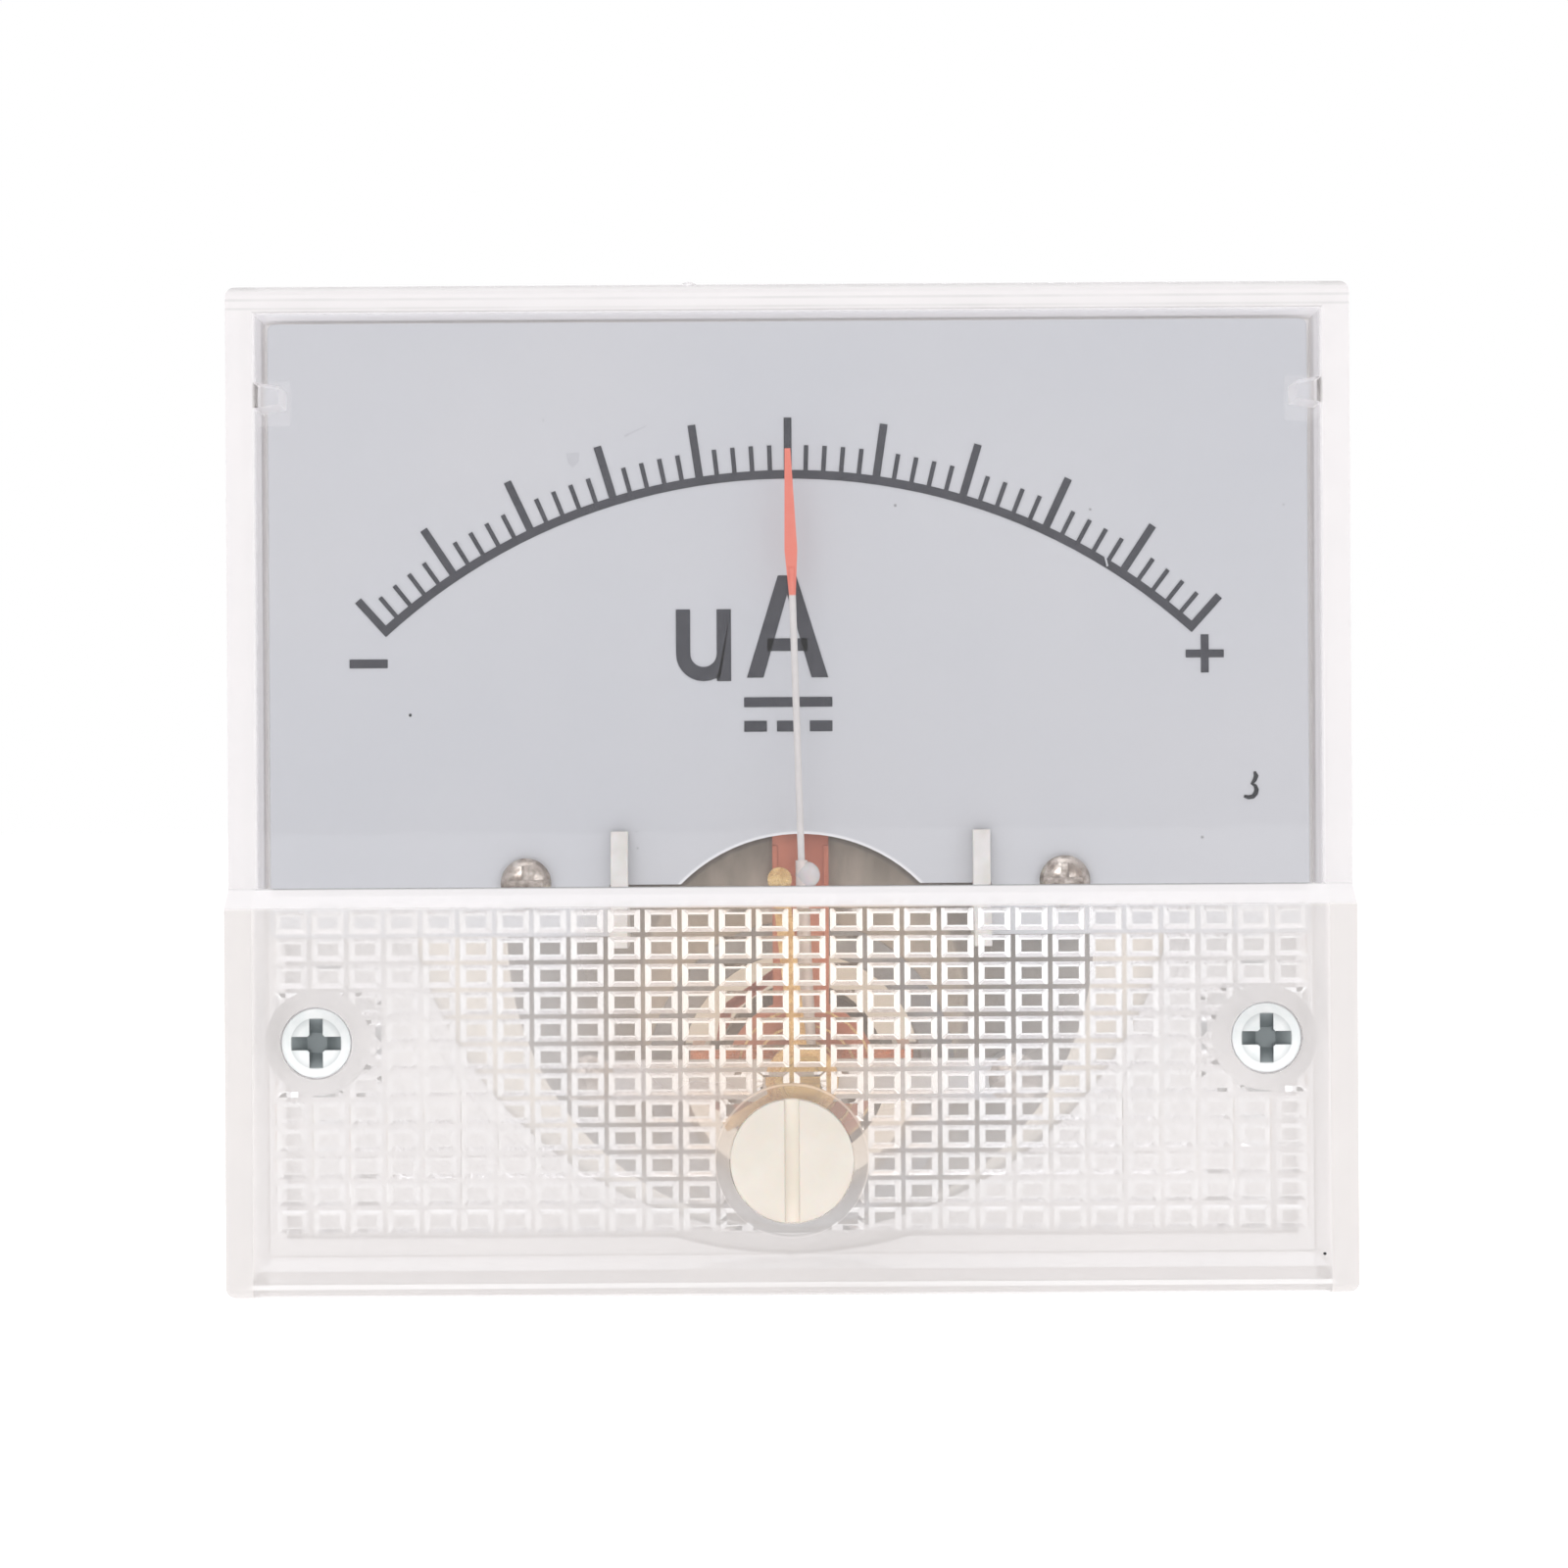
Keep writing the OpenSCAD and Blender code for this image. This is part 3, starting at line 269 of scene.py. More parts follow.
def ridge_mask(g, y, z):
    """1 on the slope between the lower panel and the window, as seen from outside."""
    low = g.step(z, Z_RIDGE - 0.1, Z_RIDGE + 0.05)
    high = g.step(z, Z_RIDGE + 1.15, Z_RIDGE + 1.0)
    return g.maths("MULTIPLY", g.maths("MULTIPLY", low, high), g.step(y, Y_WINDOW + 0.05, Y_WINDOW - 0.05))


def wall_sheen(g, x, y, z):
    """Painted sheen of the side walls and the top wall, thinner on their inner faces and on the catches."""
    side = g.maths("ABSOLUTE", x)
    walls = g.maths("MAXIMUM", g.step(side, X_INNER, X_INNER + 0.2), g.step(z, Z_TOP - 1.6, Z_TOP - 1.4))
    amount = g.ramp(g.step(y, Y_WINDOW + 0.6, Y_WINDOW + 0.1), 0.0, 1.0, INNER_SHEEN, WALL_SHEEN)
    outside = g.maths("MAXIMUM", g.step(side, X_OUTER, X_OUTER + 0.15), g.step(z, Z_TOP - 0.2, Z_TOP - 0.05))
    outside = g.maths("MULTIPLY", outside, g.step(y, Y_WINDOW + 0.1, Y_WINDOW + 0.6))
    amount = g.ramp(outside, 0.0, 1.0, amount, SIDE_SHEEN)
    front = g.step(y, Y_WINDOW + 1.7, Y_WINDOW + 1.9)
    catch = g.maths("MULTIPLY", g.step(side, CATCH_X, CATCH_X + 0.2), front)
    low, high = CATCH_Z
    height = g.maths("MULTIPLY", g.step(z, low, low + 0.2), g.step(z, high, high - 0.2))
    catch = g.maths("MULTIPLY", g.maths("MULTIPLY", catch, height), CATCH_SHEEN)
    return g.maths("MAXIMUM", g.maths("MULTIPLY", walls, amount), catch)


def top_shade_lines(g, y, z):
    """Soft painted lines of shade along the front of the top wall."""
    lines = 0.0
    for height, half in TOP_SHADE_LINES:
        off = g.maths("ABSOLUTE", g.maths("SUBTRACT", z, height * MM))
        lines = g.maths("MAXIMUM", lines, g.step(off, half * 1.6, half * 0.4))
    lines = g.maths("MULTIPLY", lines, g.step(y, Y_WINDOW + 0.6, Y_WINDOW + 0.1))
    return g.maths("MULTIPLY", lines, g.ramp(g.noise(7.0, 2.0), 0.35, 0.6, 0.35, 1.0))


def panel_sheen(g, x, y, z):
    """Painted sheen on the face of the lower panel, faint over the movement, with a painted bright ring at
    the adjuster.
    """
    away = distance(g, g.maths("DIVIDE", x, SHEEN_WIDE), SHEEN_CENTRE[0] / SHEEN_WIDE, z, SHEEN_CENTRE[1])
    away = g.maths("ADD", away, g.maths("MULTIPLY", g.maths("SUBTRACT", g.noise(5.0, 2.0), 0.5), 5.0 * MM))
    sheen = g.ramp(away, SHEEN_NEAR * MM, SHEEN_FAR * MM, PANEL_SHEEN[0], PANEL_SHEEN[1])
    # Painted bright ring round the adjuster.
    off_axis = distance(g, x, ADJUSTER[0], z, ADJUSTER[1])
    inner, outer = RING_RADII
    painted_rim = g.maths("MULTIPLY", g.step(off_axis, inner, inner + 0.15), g.step(off_axis, outer, outer - 0.15))
    sheen = g.maths("MAXIMUM", sheen, g.maths("MULTIPLY", painted_rim, RING_SHEEN))
    return g.maths("MULTIPLY", sheen, g.step(y, Y_LOWER + 0.6, Y_LOWER + 0.3))


def clear_cover():
    """Clear styrene, with a milky look that is painted sheen and glow. Light on its way to the inside passes
    straight through.
    """
    g = Graph("clear_cover")
    g.set(Base_Color=srgb(252, 252, 254), Roughness=0.02, IOR=1.5, Transmission_Weight=1.0)
    g.bump(g.noise(9.0, 1.0), 0.004)
    x, y, z = g.axis("X"), g.axis("Y"), g.axis("Z")
    low = g.step(z, Z_RIDGE + 0.1, Z_RIDGE - 0.1)
    # Painted warm light round the coil, on the lower panel's colour and on its sheen.
    near = g.step(distance(g, x, WARM_CENTRE[0], z, WARM_CENTRE[1]), WARM_END, WARM_FULL)
    g.colour(g.mix(g.maths("MULTIPLY", low, near), srgb(252, 252, 254), srgb(251, 243, 235)))
    ridge = ridge_mask(g, y, z)
    # Painted sheen: a white diffuse layer mixed in over the walls, the ridge and the lower panel.
    sheen = g.maths("MAXIMUM", g.maths("MULTIPLY", ridge, RIDGE_SHEEN), wall_sheen(g, x, y, z))
    sheen = g.maths("MAXIMUM", sheen, panel_sheen(g, x, y, z))
    panel = g.mix(g.noise(4.0, 2.0), srgb(240, 235, 233), srgb(234, 230, 229))
    panel = g.mix(near, panel, srgb(238, 212, 190))
    wall = g.mix(g.noise(3.0, 2.0), srgb(246, 242, 243), srgb(241, 238, 239))
    # Painted lines of shade on the top wall.
    wall = g.mix(top_shade_lines(g, y, z), wall, srgb(229, 227, 227))
    sheen_colour = g.mix(low, wall, panel)
    sheen_bsdf = g.node("ShaderNodeBsdfDiffuse", {"Color": sheen_colour})
    # Painted glow on the ridge between the lower panel and the window.
    glow = g.node("ShaderNodeEmission", {"Strength": g.maths("MULTIPLY", ridge, RIDGE_GLOW)})
    lit = g.node("ShaderNodeAddShader")
    g.links.new(sheen_bsdf.outputs[0], lit.inputs[0])
    g.links.new(glow.outputs[0], lit.inputs[1])
    with_sheen = g.blend(sheen, g.shader.outputs[0], lit.outputs[0])
    path = g.nodes.new("ShaderNodeLightPath")
    straight = g.maths("MAXIMUM", path.outputs["Is Shadow Ray"], path.outputs["Is Diffuse Ray"])
    passing = g.node("ShaderNodeBsdfTransparent", {"Color": (0.97, 0.97, 0.975, 1.0)})
    g.links.new(g.blend(straight, with_sheen, passing.outputs[0]), g.output.inputs["Surface"])
    return g.mat


def ivory_plastic():
    """Ivory plastic, with painted glow in the slot for the light that reaches it through the plastic."""
    g = mottled("ivory_plastic", srgb(228, 220, 209), srgb(232, 225, 215), 2.5, (0.28, 0.4), edge=0.12,
                grain=(0.25, 0.004))
    x, y = g.axis("X"), g.axis("Y")
    # Painted glow on the floor of the slot.
    slot = g.step(g.maths("ABSOLUTE", x), SLOT_HALF + 0.02, SLOT_HALF - 0.02)
    slot = g.maths("MULTIPLY", slot, g.step(y, Y_LOWER - 0.1, Y_LOWER + 0.1))
    g.links.new(g.maths("MULTIPLY", slot, SLOT_GLOW), g.shader.inputs["Emission Strength"])
    g.set(Subsurface_Weight=0.25, Subsurface_Scale=0.0006, IOR=1.5, Emission_Color=srgb(228, 220, 209))
    return g.mat


def housing_plastic():
    """White plastic, with painted glow inside the barrel for light through its thin wall, and painted shade
    at the front.
    """
    g = mottled("housing_plastic", srgb(236, 232, 226), srgb(231, 227, 221), 14.0, (0.38, 0.52), edge=0.15,
                grain=(0.3, 0.006))
    x, y, z = g.axis("X"), g.axis("Y"), g.axis("Z")
    # Painted glow on the inside of the barrel.
    inside = g.maths("MULTIPLY", g.step(distance(g, x, 0.0, z, 0.0), 24.1, 23.8), g.step(y, 29.0, 28.0))
    inside = g.maths("MULTIPLY", inside, g.step(y, -1.5, 3.0))
    glow = g.maths("MULTIPLY", inside, BARREL_GLOW)
    g.links.new(glow, g.shader.inputs["Emission Strength"])
    # Painted shade: a little darker from about 1.5 mm in front of the panel plane, inside the cover.
    plain = g.shader.inputs["Base Color"].links[0].from_socket
    g.colour(g.mix(g.step(y, -1.4, -1.6), plain, srgb(232, 228, 226)))
    g.set(IOR=1.5, Emission_Color=srgb(244, 238, 230))
    return g.mat


def dial_paint():
    """Flat enamel, with slow shifts of tone, a few specks of dust and a painted highlight along the arch's
    edge.
    """
    g = Graph("dial_paint")
    g.set(Base_Color=srgb(205, 207, 211), Roughness=0.55)
    slow = g.ramp(g.noise(18.0, 2.0), 0.3, 0.7, 0.0, 1.0)
    tone = g.mix(slow, srgb(200, 201, 205), srgb(204, 204, 207))
    dust = g.node("ShaderNodeTexVoronoi", {
        "Vector": g.mapped(), "Scale": 1.0 / (4.2 * MM), "Randomness": 1.0})
    speck = g.ramp(dust.outputs["Distance"], 0.012, 0.03, 0.75, 0.0)
    tone = g.mix(speck, tone, srgb(120, 120, 122))
    # Painted highlight along the cut edge of the arch.
    painted_rim = g.step(distance(g, g.axis("X"), ARCH[0], g.axis("Z"), ARCH[1]), ARCH_R + 0.2, ARCH_R + 0.08)
    g.colour(g.mix(painted_rim, tone, srgb(240, 239, 240)))
    g.roughness(g.ramp(g.noise(6.0, 2.0), 0.3, 0.7, 0.5, 0.62))
    g.bevel(0.05)
    g.bump(g.noise(0.18, 2.0), 0.003)
    return g.mat


def dial_ink():
    """Printing ink of the scale and the signs."""
    g = mottled("dial_ink", srgb(50, 50, 58), srgb(61, 61, 68), 1.2, (0.45, 0.6), edge=0)
    return g.mat


def pen_ink():
    """Black pen ink, also the colour of dirt."""
    g = mottled("pen_ink", srgb(14, 14, 22), srgb(24, 24, 32), 0.4, (0.3, 0.5), edge=0)
    return g.mat


def dial_smudge():
    """Thin grey film on the enamel."""
    g = mottled("dial_smudge", srgb(190, 190, 194), srgb(196, 196, 200), 0.5, (0.5, 0.62), edge=0)
    return g.mat


def nickel():
    """Bright nickel plate over a slightly uneven head."""
    g = mottled("nickel", srgb(222, 213, 203), srgb(134, 118, 106), 0.7, (0.12, 0.26), metallic=1.0,
                edge=0.08, grain=(0.5, 0.05))
    return g.mat


def cream_plastic():
    """Pale, slightly translucent plastic."""
    g = mottled("cream_plastic", srgb(228, 225, 222), srgb(215, 211, 204), 1.1, (0.4, 0.55), edge=0.06,
                grain=(0.15, 0.005))
    g.set(Subsurface_Weight=0.2, Subsurface_Scale=0.0005)
    return g.mat


def cast_frame():
    """Bare cast metal, with painted shade under the edge of the dial."""
    g = mottled("cast_frame", srgb(182, 168, 154), srgb(158, 146, 132), 1.2, (0.42, 0.6), metallic=0.6,
                edge=0.12, grain=(0.25, 0.012), stretch=(1, 1, 0.35))
    plain = g.shader.inputs["Base Color"].links[0].from_socket
    # Painted shade along the arch, under the dial's edge.
    shade_under = g.step(distance(g, g.axis("X"), ARCH[0], g.axis("Z"), ARCH[1]), ARCH_R - 0.35, ARCH_R - 0.1)
    g.colour(g.mix(g.maths("MULTIPLY", shade_under, 0.6), plain, srgb(84, 78, 74)))
    return g.mat


def soft_iron():
    """Turned soft iron."""
    g = mottled("soft_iron", srgb(150, 150, 152), srgb(128, 128, 131), 1.5, (0.28, 0.42), metallic=1.0,
                edge=0.1)
    g.bump(g.wave(0.16, "Y"), 0.002)
    return g.mat


def magnet():
    """Dark cast magnet."""
    g = mottled("magnet", srgb(98, 96, 96), srgb(78, 76, 77), 1.1, (0.45, 0.62), metallic=0.85, edge=0.12,
                grain=(0.2, 0.01))
    return g.mat


def copper_sheet():
    """Drawn copper sheet with lengthwise grain."""
    g = mottled("copper_sheet", srgb(204, 128, 104), srgb(180, 104, 84), 2.0, (0.34, 0.46), metallic=0.85,
                edge=0.05, stretch=(1, 1, 0.2))
    g.bump(g.noise(0.12, 2.0, (1, 1, 0.08)), 0.004)
    return g.mat


def brass():
    """Turned brass."""
    g = mottled("brass", srgb(210, 186, 130), srgb(190, 162, 106), 1.8, (0.2, 0.36), metallic=1.0, edge=0.1)
    g.bump(g.wave(0.14, "Y"), 0.0015)
    return g.mat


def threaded_brass():
    """Brass studs with the relief of an M4 thread."""
    g = mottled("threaded_brass", srgb(208, 182, 126), srgb(186, 158, 104), 1.8, (0.24, 0.4), metallic=1.0,
                edge=0.05)
    g.bump(g.wave(0.7, "Y"), 0.16)
    return g.mat


def spring_bronze():
    """Bright spring bronze."""
    g = mottled("spring_bronze", srgb(222, 192, 140), srgb(188, 150, 102), 0.5, (0.2, 0.32), metallic=1.0,
                edge=0.05, stretch=(1, 0.3, 1))
    return g.mat


def aluminium():
    """Brushed aluminium."""
    g = mottled("aluminium", srgb(206, 206, 208), srgb(186, 186, 189), 1.4, (0.28, 0.42), metallic=0.95,
                edge=0.06, stretch=(0.2, 1, 1))
    g.bump(g.noise(0.1, 2.0, (0.08, 1, 1)), 0.003)
    return g.mat


def pale_carrier():
    """Carrier and its socket: pale lacquered metal with a warm cast."""
    g = mottled("pale_carrier", srgb(231, 219, 213), srgb(216, 203, 198), 0.8, (0.34, 0.5), metallic=0.35,
                edge=0.05, grain=(0.12, 0.004))
    return g.mat


def copper_wire():
    """Enamelled wire laid in close turns."""
    g = mottled("copper_wire", srgb(208, 112, 52), srgb(180, 84, 36), 0.7, (0.2, 0.34), metallic=0.8,
                edge=0.08)
    g.bump(g.wave(0.16, "Z"), 0.03)
    return g.mat


def steel():
    """Ground steel."""
    g = mottled("steel", srgb(170, 170, 174), srgb(146, 146, 150), 0.8, (0.18, 0.3), metallic=1.0, edge=0.04)
    g.bump(g.wave(0.12, "Y"), 0.001)
    return g.mat


def pointer_paint():
    """Pale fibre whose knife-shaped tip is painted red."""
    g = Graph("pointer_paint")
    g.set(Base_Color=srgb(238, 116, 98), Roughness=0.42, IOR=1.5)
    pale = g.mix(g.noise(0.6, 2.0), srgb(226, 220, 216), srgb(208, 204, 203))
    red = g.mix(g.noise(0.8, 2.0), srgb(238, 138, 119), srgb(228, 114, 97))
    painted = g.ramp(g.axis("Z"), (Z_TIP_BASE - 0.05) * MM, (Z_TIP_BASE + 0.05) * MM, 0.0, 1.0)
    g.colour(g.mix(painted, pale, red))
    g.roughness(g.ramp(g.noise(0.5, 2.0), 0.3, 0.7, 0.35, 0.5))
    g.bump(g.noise(0.1, 2.0, (1, 1, 0.1)), 0.003)
    return g.mat


def brown_insulation():
    """Laminated paper insulation."""
    g = mottled("brown_insulation", srgb(112, 78, 56), srgb(92, 62, 44), 0.8, (0.5, 0.65), edge=0.05,
                grain=(0.1, 0.01))
    return g.mat


def red_lead():
    """Red insulation of the lead."""
    g = mottled("red_lead", srgb(190, 52, 44), srgb(172, 42, 36), 2.0, (0.32, 0.44), edge=0,
                grain=(0.2, 0.006))
    return g.mat


def zinc():
    """Zinc plate."""
    g = mottled("zinc", srgb(218, 226, 229), srgb(192, 202, 207), 0.9, (0.22, 0.38), metallic=0.9, edge=0.08,
                grain=(0.2, 0.006))
    return g.mat


def screw_zinc():
    """Bright passivated zinc, with painted shade down in the cross recess."""
    g = mottled("screw_zinc", srgb(246, 247, 247), srgb(236, 240, 240), 0.9, (0.3, 0.42), metallic=0.4,
                edge=0.06, grain=(0.2, 0.004))
    x, y, z = g.axis("X"), g.axis("Y"), g.axis("Z")
    off_axis = distance(g, g.maths("ABSOLUTE", x), MOUNT_X, z, MOUNT_Z)
    inside = g.step(off_axis, CROSS_R, CROSS_R - 0.06)
    # Painted shade in the cross recess.
    recess_shade = g.maths("MULTIPLY", g.step(y, Y_LOWER + 0.16, Y_LOWER + 0.3), inside)
    plain = g.shader.inputs["Base Color"].links[0].from_socket
    g.colour(g.mix(recess_shade, plain, srgb(140, 147, 149)))
    return g.mat


def tin():
    """Hot-dipped tin."""
    g = mottled("tin", srgb(205, 202, 195), srgb(184, 181, 175), 1.6, (0.26, 0.42), metallic=1.0, edge=0.06,
                grain=(0.4, 0.01))
    return g.mat


def glue():
    """Clear cement, slightly milky."""
    g = Graph("glue")
    g.set(Base_Color=srgb(244, 238, 238), Roughness=0.22, IOR=1.48, Transmission_Weight=0.35,
          Subsurface_Weight=0.3, Subsurface_Scale=0.0005)
    g.bump(g.noise(0.5, 2.0), 0.02)
    return g.mat


FINISHES = {
    "front_cover": clear_cover, "zero_adjuster": ivory_plastic, "base_housing": housing_plastic,
    "barrel_shell": housing_plastic, "dial_plate": dial_paint, "scale_marks": dial_ink,
    "dial_screws": nickel, "pointer_stops": cream_plastic, "movement_frame": cast_frame,
    "yoke_ring": soft_iron, "core_magnet": magnet, "core_strap": copper_sheet, "strap_screws": nickel,
    "bridge_pillars": aluminium, "front_bridge": aluminium, "rear_bridge": aluminium,
    "bridge_screws": nickel, "front_jewel_screw": brass, "rear_jewel_screw": brass, "jewel_nuts": brass,
    "zero_lever": spring_bronze, "front_hairspring": spring_bronze, "rear_hairspring": spring_bronze,
    "rear_spring_tab": spring_bronze, "coil_former": aluminium, "coil_winding": copper_wire,
    "front_staff": steel, "rear_staff": steel, "pointer_carrier": pale_carrier,
    "balance_weights": brass, "pointer": pointer_paint, "support_columns": brass,
    "column_screws": nickel, "insulating_bush": brown_insulation, "lead_wire": red_lead,
    "terminal_studs": threaded_brass, "terminal_nuts": brass, "terminal_washers": zinc,
    "solder_lugs": tin, "mounting_screws": screw_zinc,
}
made = {}


def finish_of(maker):
    """Each finish is made once and shared."""
    if maker.__name__ not in made:
        made[maker.__name__] = maker()
    return made[maker.__name__]


def dress_cad():
    """Gives each node of the part its finish."""
    for name, obj in cad.items():
        obj.data.materials.clear()
        obj.data.materials.append(finish_of(FINISHES[name]))


# ---------------------------------------------------------------- added pieces

def add_mesh(name, verts, faces, maker, body, smooth=False):
    """Adds a piece, given in millimetres, that rides on a body."""
    mesh = bpy.data.meshes.new(name)
    mesh.from_pydata([tuple(c * MM for c in v) for v in verts], [], faces)
    mesh.validate()
    for p in mesh.polygons:
        p.use_smooth = smooth
    obj = bpy.data.objects.new(name, mesh)
    bpy.context.scene.collection.objects.link(obj)
    mesh.materials.append(finish_of(maker))
    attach(obj, body)
    return obj


def extrude(outlines, y_back, y_front):
    """Vertices and faces of outlines, drawn from the front, between two planes."""
    verts, faces = [], []
    for line in outlines:
        n, k = len(line), len(verts)
        verts += [(x, y_front, z) for x, z in line] + [(x, y_back, z) for x, z in line]
        faces.append(list(range(k, k + n)))
        faces.append(list(range(k + 2 * n - 1, k + n - 1, -1)))
        faces += [[k + i, k + n + i, k + n + (i + 1) % n, k + (i + 1) % n] for i in range(n)]
    return verts, faces


def box_outline(x0, z0, x1, z1):
    """Corners of an upright rectangle."""
    return [(x0, z0), (x1, z0), (x1, z1), (x0, z1)]


def letter_u(x0, x1, z0, z1, stroke):
    """Lower-case u with a straight right stem."""
    r_out = (x1 - x0) / 2
    r_in = r_out - stroke
    cx, cz = (x0 + x1) / 2, z0 + r_out
    steps = 14
    outer = [(cx - r_out * math.cos(math.pi * i / steps), cz - r_out * math.sin(math.pi * i / steps))
             for i in range(steps // 2 + 4)]
    inner = [(cx - r_in * math.cos(math.pi * i / steps), cz - r_in * math.sin(math.pi * i / steps))
             for i in range(steps, -1, -1)]
    return [[(x0, z1)] + outer + [(x1 - stroke, z0 + stroke * 0.55), (x1 - stroke, z0), (x1, z0), (x1, z1),
            (x1 - stroke, z1)] + inner + [(x0 + stroke, z1)]]


def letter_a(x0, x1, z0, z1, stroke):
    """Capital A in three strokes."""
    cx, flat = (x0 + x1) / 2, stroke * 0.62
    foot = stroke * 1.12
    left = [(x0, z0), (x0 + foot, z0), (cx + 0.02, z1 - stroke * 1.2), (cx + 0.02, z1), (cx - flat, z1)]
    right = [(2 * cx - x, z) for x, z in reversed(left)]
    bar_z = z0 + (z1 - z0) * 0.26
    bar = box_outline(x0 + foot * 1.25, bar_z, x1 - foot * 1.25, bar_z + stroke * 0.85)
    return [left, right, bar]


def add_dial_print():
    """Unit sign, direct-current sign and the signs at the ends of the scale."""
    lines = letter_u(-6.56, -3.36, 9.5, 13.68, 0.83) + letter_a(-2.45, 2.28, 9.69, 15.62, 0.86)
    lines.append(box_outline(-2.62, 7.98, 2.51, 8.55))
    lines += [box_outline(x, 6.55, x + 1.32, 7.18) for x in (-2.62, -0.72, 1.19)]
    lines.append(box_outline(-25.54, 10.37, -23.32, 10.88))
    lines += [box_outline(23.06, 10.71, 25.28, 11.17), box_outline(23.94, 9.83, 24.4, 10.71),
              box_outline(23.94, 11.17, 24.4, 12.05)]
    verts, faces = extrude(lines, Y_DIAL, Y_INK)
    add_mesh("dial_print", verts, faces, dial_ink, "housing")


def add_pen_mark():
    """Inspector's mark in pen: a small numeral, drawn in one stroke."""
    path = [(27.02, 4.06), (27.12, 3.81), (27.04, 3.58), (26.88, 3.35), (27.06, 3.24), (27.14, 3.02),
            (27.08, 2.78), (26.92, 2.6), (26.66, 2.56), (26.4, 2.64)]
    half = [0.07, 0.14, 0.12, 0.1, 0.1, 0.13, 0.14, 0.13, 0.12, 0.08]
    left, right = [], []
    for i, (x, z) in enumerate(path):
        a, b = path[max(i - 1, 0)], path[min(i + 1, len(path) - 1)]
        dx, dz = b[0] - a[0], b[1] - a[1]
        k = half[i] / math.hypot(dx, dz)
        left.append((x - dz * k, z + dx * k))
        right.append((x + dz * k, z - dx * k))
    lines = [[left[i], left[i + 1], right[i + 1], right[i]] for i in range(len(path) - 1)]
    verts, faces = extrude(lines, Y_DIAL, Y_INK)
    add_mesh("pen_mark", verts, faces, pen_ink, "housing")


def add_wear():
    """Marks that the dial has picked up: a nick in the scale line, a smudge and a short scratch."""
    nick = [(18.36, 16.62), (18.46, 16.66), (18.6, 16.06), (18.5, 16.02)]
    verts, faces = extrude([nick], Y_INK, Y_INK - FILM_T)
    add_mesh("scale_nick", verts, faces, dial_paint, "housing")
    smudge = [(-12.9, 22.8), (-12.1, 22.85), (-12.15, 22.3), (-12.5, 21.95), (-12.75, 22.2)]
    scratch = [(-9.5, 23.85), (-8.25, 24.4), (-8.2, 24.33), (-9.45, 23.7)]
    verts, faces = extrude([smudge, scratch], Y_DIAL, Y_DIAL - FILM_T)
    add_mesh("dial_marks", verts, faces, dial_smudge, "housing")


def add_blob(name, centre, radii, maker, body, wobble=0.12, rings=14):
    """Uneven drop of cement or solder."""
    rng = random.Random(SEED + len(name))
    waves = [(rng.uniform(1, 3), rng.uniform(0, 6.3), rng.uniform(1, 3)) for _ in range(4)]
    verts, faces, cols = [], [], rings * 2
    for i in range(rings + 1):
        a = math.pi * i / rings
        for j in range(cols):
            b = 2 * math.pi * j / cols
            k = 1 + wobble * sum(math.sin(f * b + p) * math.sin(q * a) for f, p, q in waves) / 4
            k = k if 0 < i < rings else 1
            verts.append((centre[0] + radii[0] * k * math.sin(a) * math.cos(b),
                          centre[1] + radii[1] * k * math.sin(a) * math.sin(b),
                          centre[2] + radii[2] * k * math.cos(a)))
    for i in range(rings):
        for j in range(cols):
            a, b = i * cols + j, i * cols + (j + 1) % cols
            faces.append([a, a + cols, b + cols, b])
    return add_mesh(name, verts, faces, maker, body, smooth=True)


def add_thread(name, x, z, y0, y1, root, crest, pitch, maker, body, slot):
    """Helical ridge with a blunt crest that fades out at both ends."""
    per_turn = 28
    steps = int((y1 - y0) / pitch * per_turn)
    verts, faces = [], []
    for i in range(steps + 1):
        a, y = 2 * math.pi * i / per_turn, y0 + (y1 - y0) * i / steps
        fade = min(1.0, i / per_turn, (steps - i) / per_turn)
        top = root + (crest - root) * fade
        for r, dy in ((root - 0.03, -0.42), (top, -0.1), (top, 0.1), (root - 0.03, 0.42)):
            verts.append((x + r * math.cos(a), y + dy * pitch, z + r * math.sin(a)))
    for i in range(steps):
        for j in range(3):
            a = i * 4 + j
            faces.append([a, a + 4, a + 5, a + 1])
    add_mesh(name, verts, faces, maker, body, smooth=True)


def add_threads():
    """Threads of the mounting screws, and of the studs' free ends."""
    nut_back, stud_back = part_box("terminal_nuts")[1][1] / MM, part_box("terminal_studs")[1][1] / MM
    for side, name in ((-1, "left"), (1, "right")):
        add_thread("mount_thread_" + name, side * MOUNT_X, MOUNT_Z, *MOUNT_THREAD, zinc, "housing", "zinc")
        add_thread("terminal_thread_" + name, side * TERMINAL_X, 0.0, nut_back + 0.1, stud_back - 0.3,
                   STUD_ROOT, STUD_CREST, STUD_PITCH, threaded_brass, "housing", "brass")


def add_rear_signs():
    """Polarity signs moulded on the rear wall, over the terminals."""
    z, arm, half = SIGN_Z, SIGN_ARM, SIGN_HALF
    lines = [box_outline(TERMINAL_X - arm, z - half, TERMINAL_X + arm, z + half)]
    lines += [box_outline(-TERMINAL_X - arm, z - half, -TERMINAL_X + arm, z + half)]
    lines += [box_outline(TERMINAL_X - half, z + half, TERMINAL_X + half, z + arm),
              box_outline(TERMINAL_X - half, z - arm, TERMINAL_X + half, z - half)]
    verts, faces = extrude(lines, Y_REAR + SIGN_RELIEF, Y_REAR - 0.05)
    add_mesh("rear_signs", verts, faces, housing_plastic, "housing")


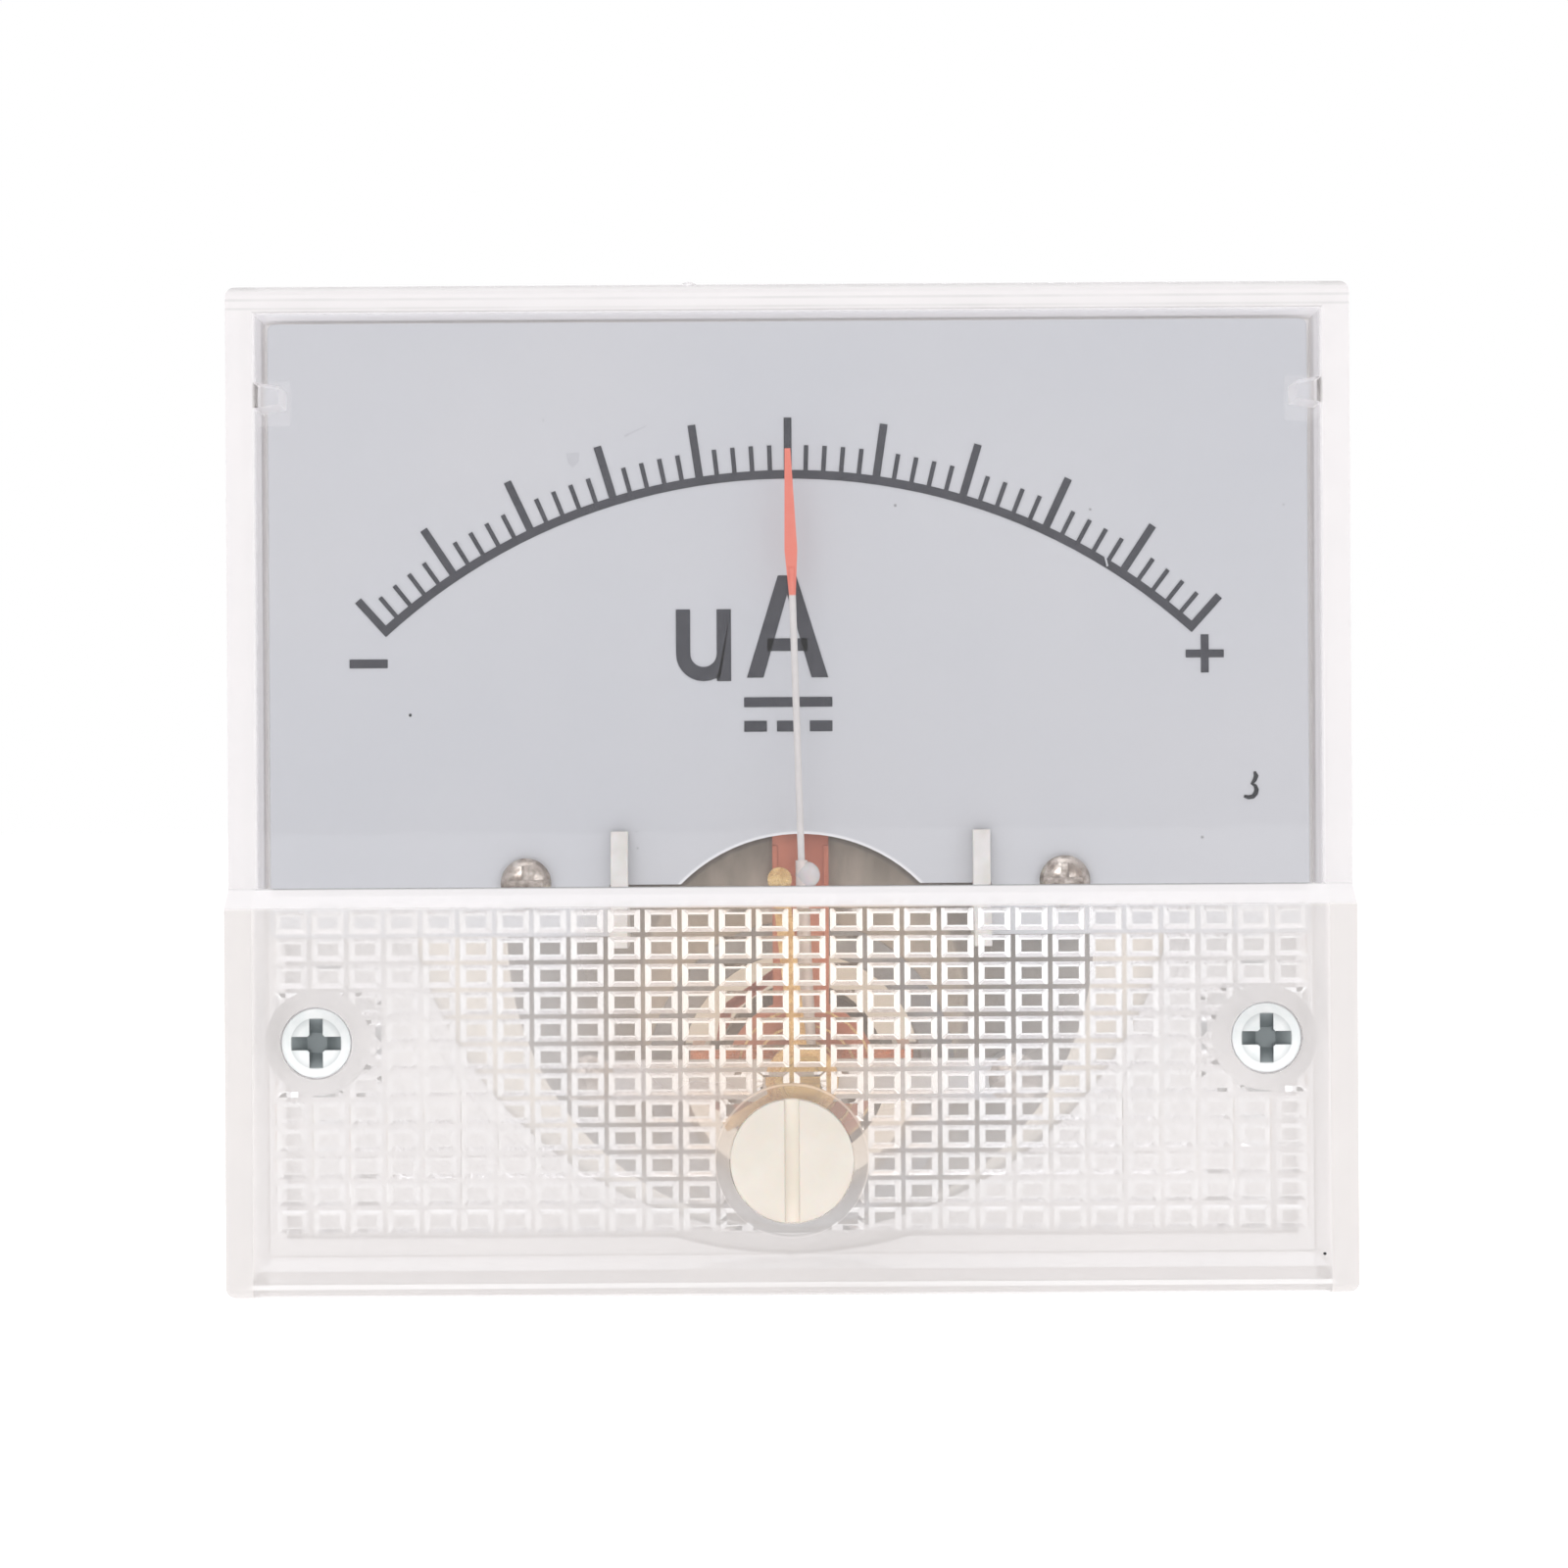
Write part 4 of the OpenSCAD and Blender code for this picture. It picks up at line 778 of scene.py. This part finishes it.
def add_drops():
    """Cement on the pointer's socket, the gate of the cover's mould, and two specks of dirt."""
    add_blob("socket_cement", (1.0, Y_POINTER, -1.75), (0.72, 0.5, 0.75), glue, "moving_coil")
    add_blob("cover_gate", (-5.6, Y_WINDOW + 0.6, Z_TOP), (0.4, 0.35, 0.16), clear_cover, "housing")
    add_blob("dial_speck", (-22.03, Y_DIAL, 7.63), (0.09, 0.04, 0.1), pen_ink, "housing",
             rings=6)
    add_blob("cover_speck", (30.05, Y_LOWER, -23.2), (0.1, 0.04, 0.08), pen_ink, "housing",
             rings=6)


# ---------------------------------------------------------------- stage

def add_floor():
    """Plain white floor under the part."""
    g = Graph("floor_white")
    g.set(Base_Color=(0.95, 0.95, 0.95, 1.0), Roughness=0.9)
    g.set(Emission_Color=(1, 1, 1, 1), Emission_Strength=0.46)
    half = 3.0
    z = Z_FLOOR * MM
    mesh = bpy.data.meshes.new("floor")
    mesh.from_pydata([(-half, -half, z), (half, -half, z), (half, half, z), (-half, half, z)], [],
                     [[0, 1, 2, 3]])
    mesh.materials.append(g.mat)
    obj = bpy.data.objects.new("floor", mesh)
    bpy.context.scene.collection.objects.link(obj)


def add_lamp(name, place, size, power):
    """Square lamp turned towards the part."""
    data = bpy.data.lights.new(name, "AREA")
    data.shape = "SQUARE"
    data.size = size
    data.energy = power
    obj = bpy.data.objects.new(name, data)
    bpy.context.scene.collection.objects.link(obj)
    obj.location = place
    obj.rotation_euler = (-Vector(place)).to_track_quat("-Z", "Y").to_euler()


def add_world():
    """White to the eye and through the cover, softer as a light, with dark cards for the metal."""
    world = bpy.data.worlds.new("studio")
    bpy.context.scene.world = world
    world.use_nodes = True
    tree = world.node_tree
    nodes, links = tree.nodes, tree.links
    nodes.clear()

    def background(strength):
        n = nodes.new("ShaderNodeBackground")
        n.inputs["Color"].default_value = (1, 1, 1, 1)
        n.inputs["Strength"].default_value = strength
        return n

    white, soft, cards = background(1.0), background(0.62), background(1.0)
    coords = nodes.new("ShaderNodeTexCoord")
    split = nodes.new("ShaderNodeSeparateXYZ")
    links.new(coords.outputs["Generated"], split.inputs[0])

    def band(axis, low, high, a, b):
        m = nodes.new("ShaderNodeMapRange")
        m.interpolation_type = "SMOOTHSTEP"
        links.new(split.outputs[axis], m.inputs["Value"])
        for key, value in (("From Min", low), ("From Max", high), ("To Min", a), ("To Max", b)):
            m.inputs[key].default_value = value
        return m.outputs["Result"]

    def multiply(a, b):
        m = nodes.new("ShaderNodeMath")
        m.operation = "MULTIPLY"
        links.new(a, m.inputs[0])
        links.new(b, m.inputs[1])
        return m.outputs[0]

    behind = band("Y", -0.95, -0.55, 0.45, 1.0)
    side = band("X", 0.3, 0.75, 1.0, 0.5)
    links.new(multiply(behind, side), cards.inputs["Strength"])

    path = nodes.new("ShaderNodeLightPath")
    to_cards, to_white = nodes.new("ShaderNodeMixShader"), nodes.new("ShaderNodeMixShader")
    links.new(path.outputs["Is Glossy Ray"], to_cards.inputs[0])
    links.new(soft.outputs[0], to_cards.inputs[1])
    links.new(cards.outputs[0], to_cards.inputs[2])
    seen = nodes.new("ShaderNodeMath")
    seen.operation = "MAXIMUM"
    links.new(path.outputs["Is Camera Ray"], seen.inputs[0])
    links.new(path.outputs["Is Transmission Ray"], seen.inputs[1])
    links.new(seen.outputs[0], to_white.inputs[0])
    links.new(to_cards.outputs[0], to_white.inputs[1])
    links.new(white.outputs[0], to_white.inputs[2])
    out = nodes.new("ShaderNodeOutputWorld")
    links.new(to_white.outputs[0], out.inputs["Surface"])


def add_camera():
    """Level camera, 300 mm in front of the lower panel, rolled a little."""
    data = bpy.data.cameras.new("camera")
    data.sensor_width = 36.0
    data.lens = 122.0
    data.dof.use_dof = False
    data.clip_start, data.clip_end = 0.01, 20.0
    obj = bpy.data.objects.new("camera", data)
    bpy.context.scene.collection.objects.link(obj)
    obj.matrix_world = (Matrix.Translation((-0.00033, -0.3145, 0.0035))
                        @ Matrix.Rotation(math.radians(90), 4, "X")
                        @ Matrix.Rotation(math.radians(-0.35), 4, "Z"))
    bpy.context.scene.camera = obj


def add_lights():
    """Three soft lamps: left, right and above."""
    add_lamp("key", (-0.35, -0.75, 0.6), 0.5, 1.6)
    add_lamp("fill", (0.6, -0.7, 0.25), 0.6, 0.7)
    add_lamp("top", (0.0, 0.05, 0.9), 0.6, 1.6)


bpy.context.scene.view_settings.view_transform = "Standard"
dress_cad()
add_dial_print()
add_pen_mark()
add_wear()
add_threads()
add_rear_signs()
add_drops()
add_floor()
add_world()
add_lights()
add_camera()
